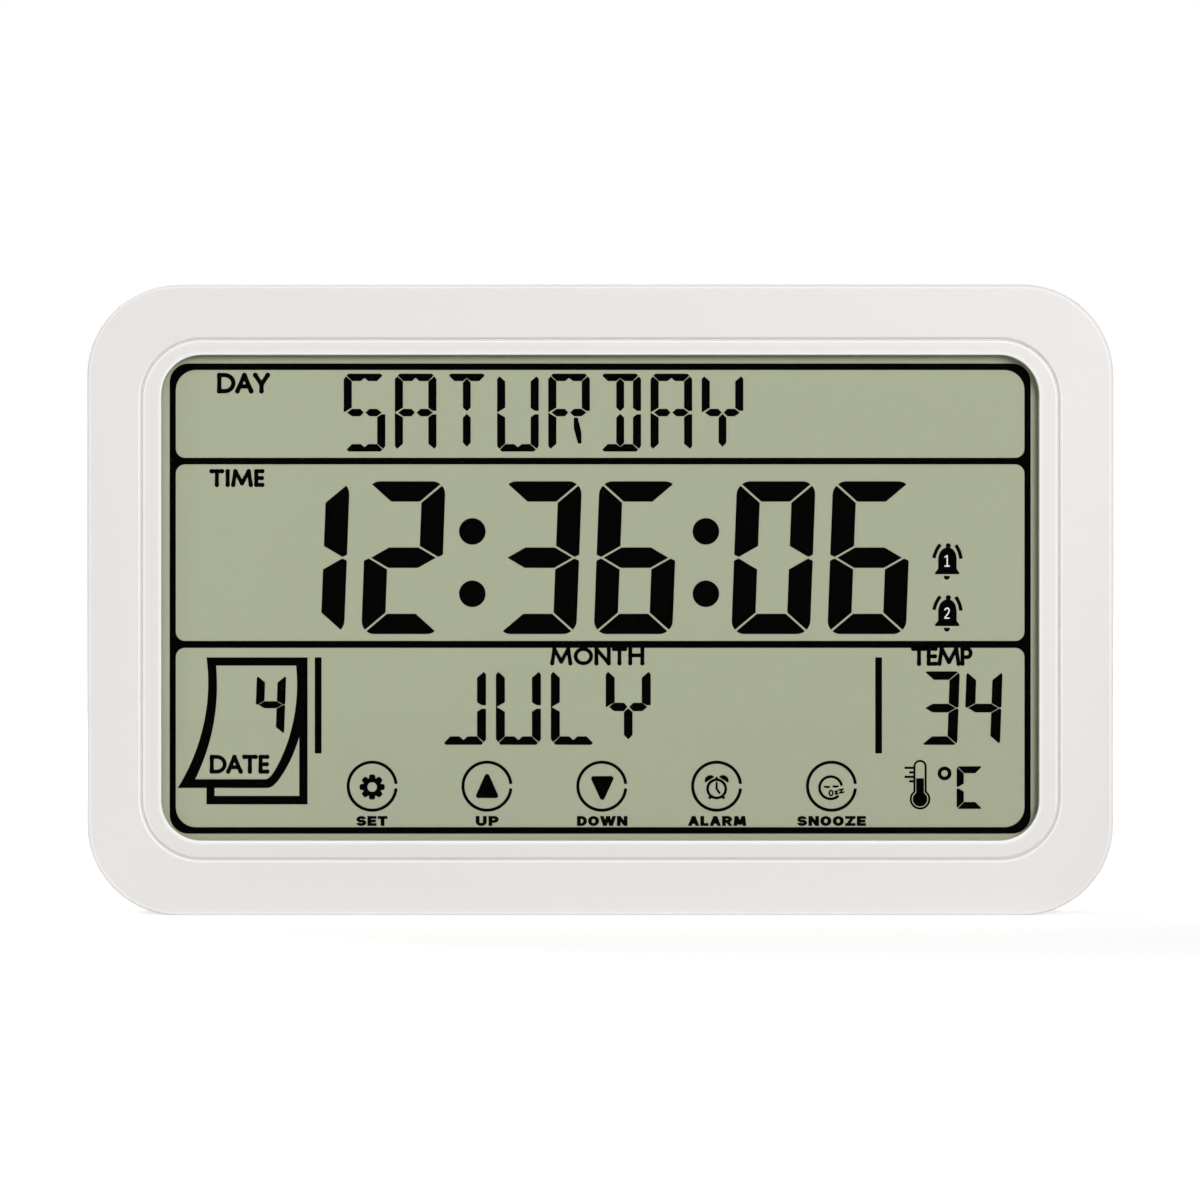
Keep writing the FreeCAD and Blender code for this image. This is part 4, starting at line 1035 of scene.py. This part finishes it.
def board_material(name):
    """Solder mask over copper: tracks as thin lines of a square pattern broken by noise, and a grain."""
    material, tree, shader = start_material(name)
    split = add(tree, "SeparateXYZ", {0: object_place(tree)}).outputs
    pitch = 1.27 * MM
    track_w, grain_height = 0.3, 0.15
    region_waves, gap_waves = 60.0, 140.0
    region_level, gap_level = 0.5, 0.47
    across = calculate(tree, "PINGPONG", split["X"], pitch)
    up = calculate(tree, "PINGPONG", split["Z"], pitch)
    region = calculate(tree, "GREATER_THAN", noise(tree, region_waves, 0.0, 0.5), region_level)
    first_number, second_number = 2, 3
    inputs = {0: region, first_number: across, second_number: up}
    both = add(tree, "Mix", inputs, data_type="FLOAT").outputs[0]
    track = calculate(tree, "LESS_THAN", both, track_w * pitch)
    unbroken = calculate(tree, "GREATER_THAN", noise(tree, gap_waves, 1.0, 0.5), gap_level)
    kept = calculate(tree, "MULTIPLY", track, unbroken)
    mask = clouded(tree, (0.012, 0.085, 0.03), (0.01, 0.065, 0.024), 60.0)
    feed(tree, shader["Base Color"], blend_colours(tree, kept, mask, (0.035, 0.17, 0.06, 1)))
    grain = grained(tree, shader, 1800.0, 0.3, 0.08)
    bump(tree, shader, scaled(tree, grain, grain_height, kept), 0.03)
    return material


def banded_rubber(name):
    """Contact rubber: dark conductive layers between grey ones, half a millimetre apart along its length."""
    material, tree, shader = start_material(name)
    x = add(tree, "SeparateXYZ", {0: object_place(tree)}).outputs["X"]
    half_pitch, half_dark = 0.25, 0.11
    layer = calculate(tree, "PINGPONG", x, half_pitch * MM)
    dark = calculate(tree, "LESS_THAN", layer, half_dark * MM)
    grey = clouded(tree, (0.3, 0.31, 0.33), (0.24, 0.25, 0.27), 200.0)
    feed(tree, shader["Base Color"], blend_colours(tree, dark, grey, (0.02, 0.02, 0.022, 1)))
    bump(tree, shader, grained(tree, shader, 3000.0, 0.6), 0.01)
    return material


case_white = (0.806, 0.775, 0.752)
case_finish = (case_white, 0.42, 0.985, 14.0, 0.5, 2600.0, 0.006, 0.08)

# moulded: name, colour, roughness, second tone, its waves, its amount, grain waves, grain depth, rubbing
finishes = {
    "white_abs": moulded("satin white ABS", *case_finish),
    "clear_acrylic": clear_sheet("clear acrylic", (0.02, 0.02, 0.02), facing=0.004, grazing=0.75,
                                 rough=0.08),
    "clear_film": clear_sheet("clear touch film", (0.05, 0.05, 0.045), facing=0.0015, grazing=0.08,
                              rough=0.15),
    "black_tape": moulded("black tape", (0.02, 0.02, 0.02), 0.7, 0.8, 60.0, 0.5, 3000.0, 0.02),
    "black_foam": moulded("black foam", (0.018, 0.018, 0.018), 0.95, 0.6, 200.0, 0.8, 2200.0, 0.12),
    "lcd_green": moulded("matt display film", (0.456, 0.492, 0.345), 0.7, 0.985, 18.0, 0.5, 4000.0, 0.003,
                         0.05, specular=0.1),
    "lcd_glass": clear_sheet("display glass", (0.55, 0.62, 0.58), facing=0.35, grazing=0.9, rough=0.1),
    "silver_film": moulded("silver reflecting film", (0.55, 0.56, 0.54), 0.35, 0.92, 30.0, 0.5, 3000.0,
                           0.01),
    "grey_silicone": banded_rubber("banded contact rubber"),
    # ivory ABS: its edges go paler, part wear and part painted highlight
    "ivory_abs": moulded("ivory ABS", (0.66, 0.63, 0.56), 0.5, 0.95, 30.0, 0.5, 2200.0, 0.01, edge=6.0),
    "zinc_steel": plated("zinc-plated steel", (0.62, 0.63, 0.64), 0.3, along=(1.0, 0.3, 1.0), waves=1200.0),
    "nickel_steel": plated("nickel-plated steel", (0.66, 0.63, 0.58), 0.24, along=(1.0, 0.3, 0.3),
                           waves=1500.0),
    "green_board": board_material("green solder mask"),
    "black_resin": moulded("black resin", (0.012, 0.012, 0.013), 0.25, 0.7, 120.0, 0.6, 700.0, 0.03),
    "ivory_nylon": moulded("natural nylon", (0.68, 0.63, 0.52), 0.45, 0.93, 80.0, 0.5, 2000.0, 0.01),
    "black_sleeve": moulded("black shrunk sleeve", (0.014, 0.014, 0.022), 0.3, 0.75, 160.0, 0.6, 900.0,
                            0.02),
    "black_ceramic": moulded("black film on ceramic", (0.025, 0.025, 0.028), 0.35, 0.8, 500.0, 0.6, 2500.0,
                             0.01),
    "tan_ceramic": moulded("tan ceramic", (0.36, 0.24, 0.14), 0.4, 0.85, 500.0, 0.6, 2500.0, 0.01),
    "black_plastic": moulded("black moulded plastic", (0.02, 0.02, 0.021), 0.45, 0.8, 120.0, 0.5, 2200.0,
                             0.015),
    "red_wire": moulded("red PVC", (0.45, 0.02, 0.018), 0.4, 0.8, 150.0, 0.6, 1500.0, 0.01),
    "black_wire": moulded("black PVC", (0.015, 0.015, 0.016), 0.4, 0.75, 150.0, 0.6, 1500.0, 0.01),
}

# the front shell's rims take a painted highlight colour where its attribute says
front_abs = moulded("satin_white_ABS_with_painted_edge_highlights", *case_finish, painted_highlight=(0.96, 0.95, 0.94))
segment_black = moulded("switched display segments", (0.001, 0.001, 0.0009), 0.8, 0.6, 40.0, 0.6, 3000.0,
                        0.001, 0.05, specular=0.01)
segment_white = moulded("bell figures", (0.97, 0.97, 0.95), 0.7, 0.96, 40.0, 0.6, 3000.0, 0.002, 0.05,
                        specular=0.1)

slot_of = {part["node"]: part["material_slot"] for part in frame["record"]["subparts"]}
for node_name, node in frame["nodes"].items():
    slot = slot_of[node_name]
    finish = finishes[slot] if slot in finishes else cell_material("sleeve of " + node_name, node_name)
    node.data.materials.clear()
    node.data.materials.append(finish)

# ------------------------ pieces
(shell_vertices, shell_faces), shell_painted_highlight = front_shell()
shell = new_piece("front_shell", shell_vertices, shell_faces, front_abs, smooth=True)
# the strength of the painted highlight on each point of the shell
shell.data.attributes.new("painted_highlight", "FLOAT", "POINT").data.foreach_set("value", shell_painted_highlight)
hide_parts("front_bezel")
boss_vertices, boss_faces = boss_mesh()
bosses = new_piece("screw_bosses", boss_vertices, boss_faces, finishes["white_abs"],
                   smooth=True)
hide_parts("front_bezel")
for piece in (shell, bosses):
    piece.data.set_sharp_from_angle(angle=math.radians(50))

prints = {
    "frame_lines": frame_layers(),
    "day_word": word("SATURDAY", x0=-55.13, pitch=11.0, z0=99.65, w=8.84, h=16.63, upright=1.63, bar=1.48,
                     waist=0.13),
    "time_figures": time_layers(),
    "month_word": word("JULY", x0=-34.2, pitch=11.81, z0=36.56, w=9.57, h=16.17, upright=1.82, bar=1.7,
                       waist=0.0),
    "date_figure": figures("4", (-74.04,), z0=38.82, w=6.22, h=12.6, upright=1.72, bar=1.4, gap=0.2,
                           radius=0.8, slant=0.036),
    "temperature_figures": temperature_layers(),
    "panel_names": label_layers(),
    "calendar_pages": calendar_layers(),
    "panel_dividers": divider_layers(),
    "thermometer_sign": thermometer_layers(),
    "key_rings": key_ring_layers(),
    "key_symbols": key_symbol_layers(),
    "key_names": key_name_layers(),
    "alarm_bells": ink(*bell_shapes(0.0), *bell_shapes(bell_pitch)) + clear(*bell_figures()),
}
for name, layers in prints.items():
    printed(name, layers, segment_black)
printed("bell_numbers", ink(*bell_figures()), segment_white, spread=-ink_spread)


# ------------------------ studio
def seen_directly(tree):
    """1 for rays from the camera, from gloss or through glass, else 0."""
    path = add(tree, "LightPath").outputs
    seen = calculate(tree, "MAXIMUM", path["Is Camera Ray"], path["Is Glossy Ray"])
    return calculate(tree, "MAXIMUM", seen, path["Is Transmission Ray"])


def floor_material():
    """Pale floor: it keeps the shadow of what stands on it, and is white to the camera, gloss and glass."""
    material, tree, shader = start_material("pale floor")
    shader["Base Color"].default_value = (0.8, 0.8, 0.8, 1)
    shader["Roughness"].default_value = 0.9
    shader["Specular IOR Level"].default_value = 0.0
    shader["Emission Color"].default_value = (1, 1, 1, 1)
    reach = add(tree, "VectorMath", {0: object_place(tree)}, operation="LENGTH").outputs["Value"]
    near_m, far_m, near_glow = 0.25, 1.0, 0.68
    glow = add(tree, "MapRange", {"Value": reach, "From Min": near_m, "From Max": far_m, "To Min": near_glow,
                                  "To Max": 1.0}, interpolation_type="SMOOTHSTEP").outputs[0]
    feed(tree, shader["Emission Strength"], calculate(tree, "MULTIPLY", seen_directly(tree), glow))
    return material


def floor():
    """A wide square at the height of what stands on it."""
    size_m = 40.0
    corners = np.array([(-1, -1), (1, -1), (1, 1), (-1, 1)]) * size_m / 2
    mesh = bpy.data.meshes.new("floor")
    mesh.from_pydata(np.insert(corners, 2, 0.0, axis=1).tolist(), [], [[0, 1, 2, 3]])
    mesh.materials.append(floor_material())
    piece = placed("floor", mesh)


def world():
    """White to the camera, gloss and glass; a plain dimmer light on everything else."""
    room = bpy.data.worlds.new("studio")
    room.use_nodes = True
    bpy.context.scene.world = room
    background = room.node_tree.nodes["Background"].inputs
    background["Color"].default_value = (1, 1, 1, 1)
    ambient = 0.1
    strength = scaled(room.node_tree, seen_directly(room.node_tree), 1 - ambient, ambient)
    feed(room.node_tree, background["Strength"], strength)


middle_m = (0.0, 0.0, case_h / 2 * MM)


def area_lamp(name, place_m, size_m, watts):
    """A square lamp aimed at the clock's middle."""
    lamp = bpy.data.lights.new(name, "AREA")
    lamp.shape = "SQUARE"
    lamp.size = size_m
    lamp.energy = watts
    aim = np.array(middle_m) - np.array(place_m)
    pitch = math.acos(-aim[2] / np.linalg.norm(aim))
    holder = placed(name, lamp)
    holder.location = place_m
    holder.rotation_euler = (pitch, 0.0, math.atan2(aim[1], aim[0]) - math.pi / 2)


def camera():
    """Square on to the display, at its mid height."""
    distance_m = 1.07167
    off_middle = -0.06
    data = bpy.data.cameras.new("camera")
    data.sensor_width = 36.0
    data.lens = 150.0
    holder = placed("camera", data)
    holder.location = (off_middle * MM, front_y * MM - distance_m, middle_m[2])
    holder.rotation_euler = (math.pi / 2, 0.0, 0.0)
    bpy.context.scene.camera = holder


floor()
world()
# name, place, size, power
area_lamp("key lamp", (2.05, -7.39, 1.65), 2.5, 357.0)
area_lamp("top lamp", (0.0, -5.2, 4.53), 2.0, 51.0)
area_lamp("left lamp", (-3.6, -2.25, 0.87), 1.2, 18.5)
area_lamp("rear lamp", (-0.6, 1.2, 1.0), 1.0, 14.0)
camera()
bpy.context.scene.view_settings.view_transform = "Standard"
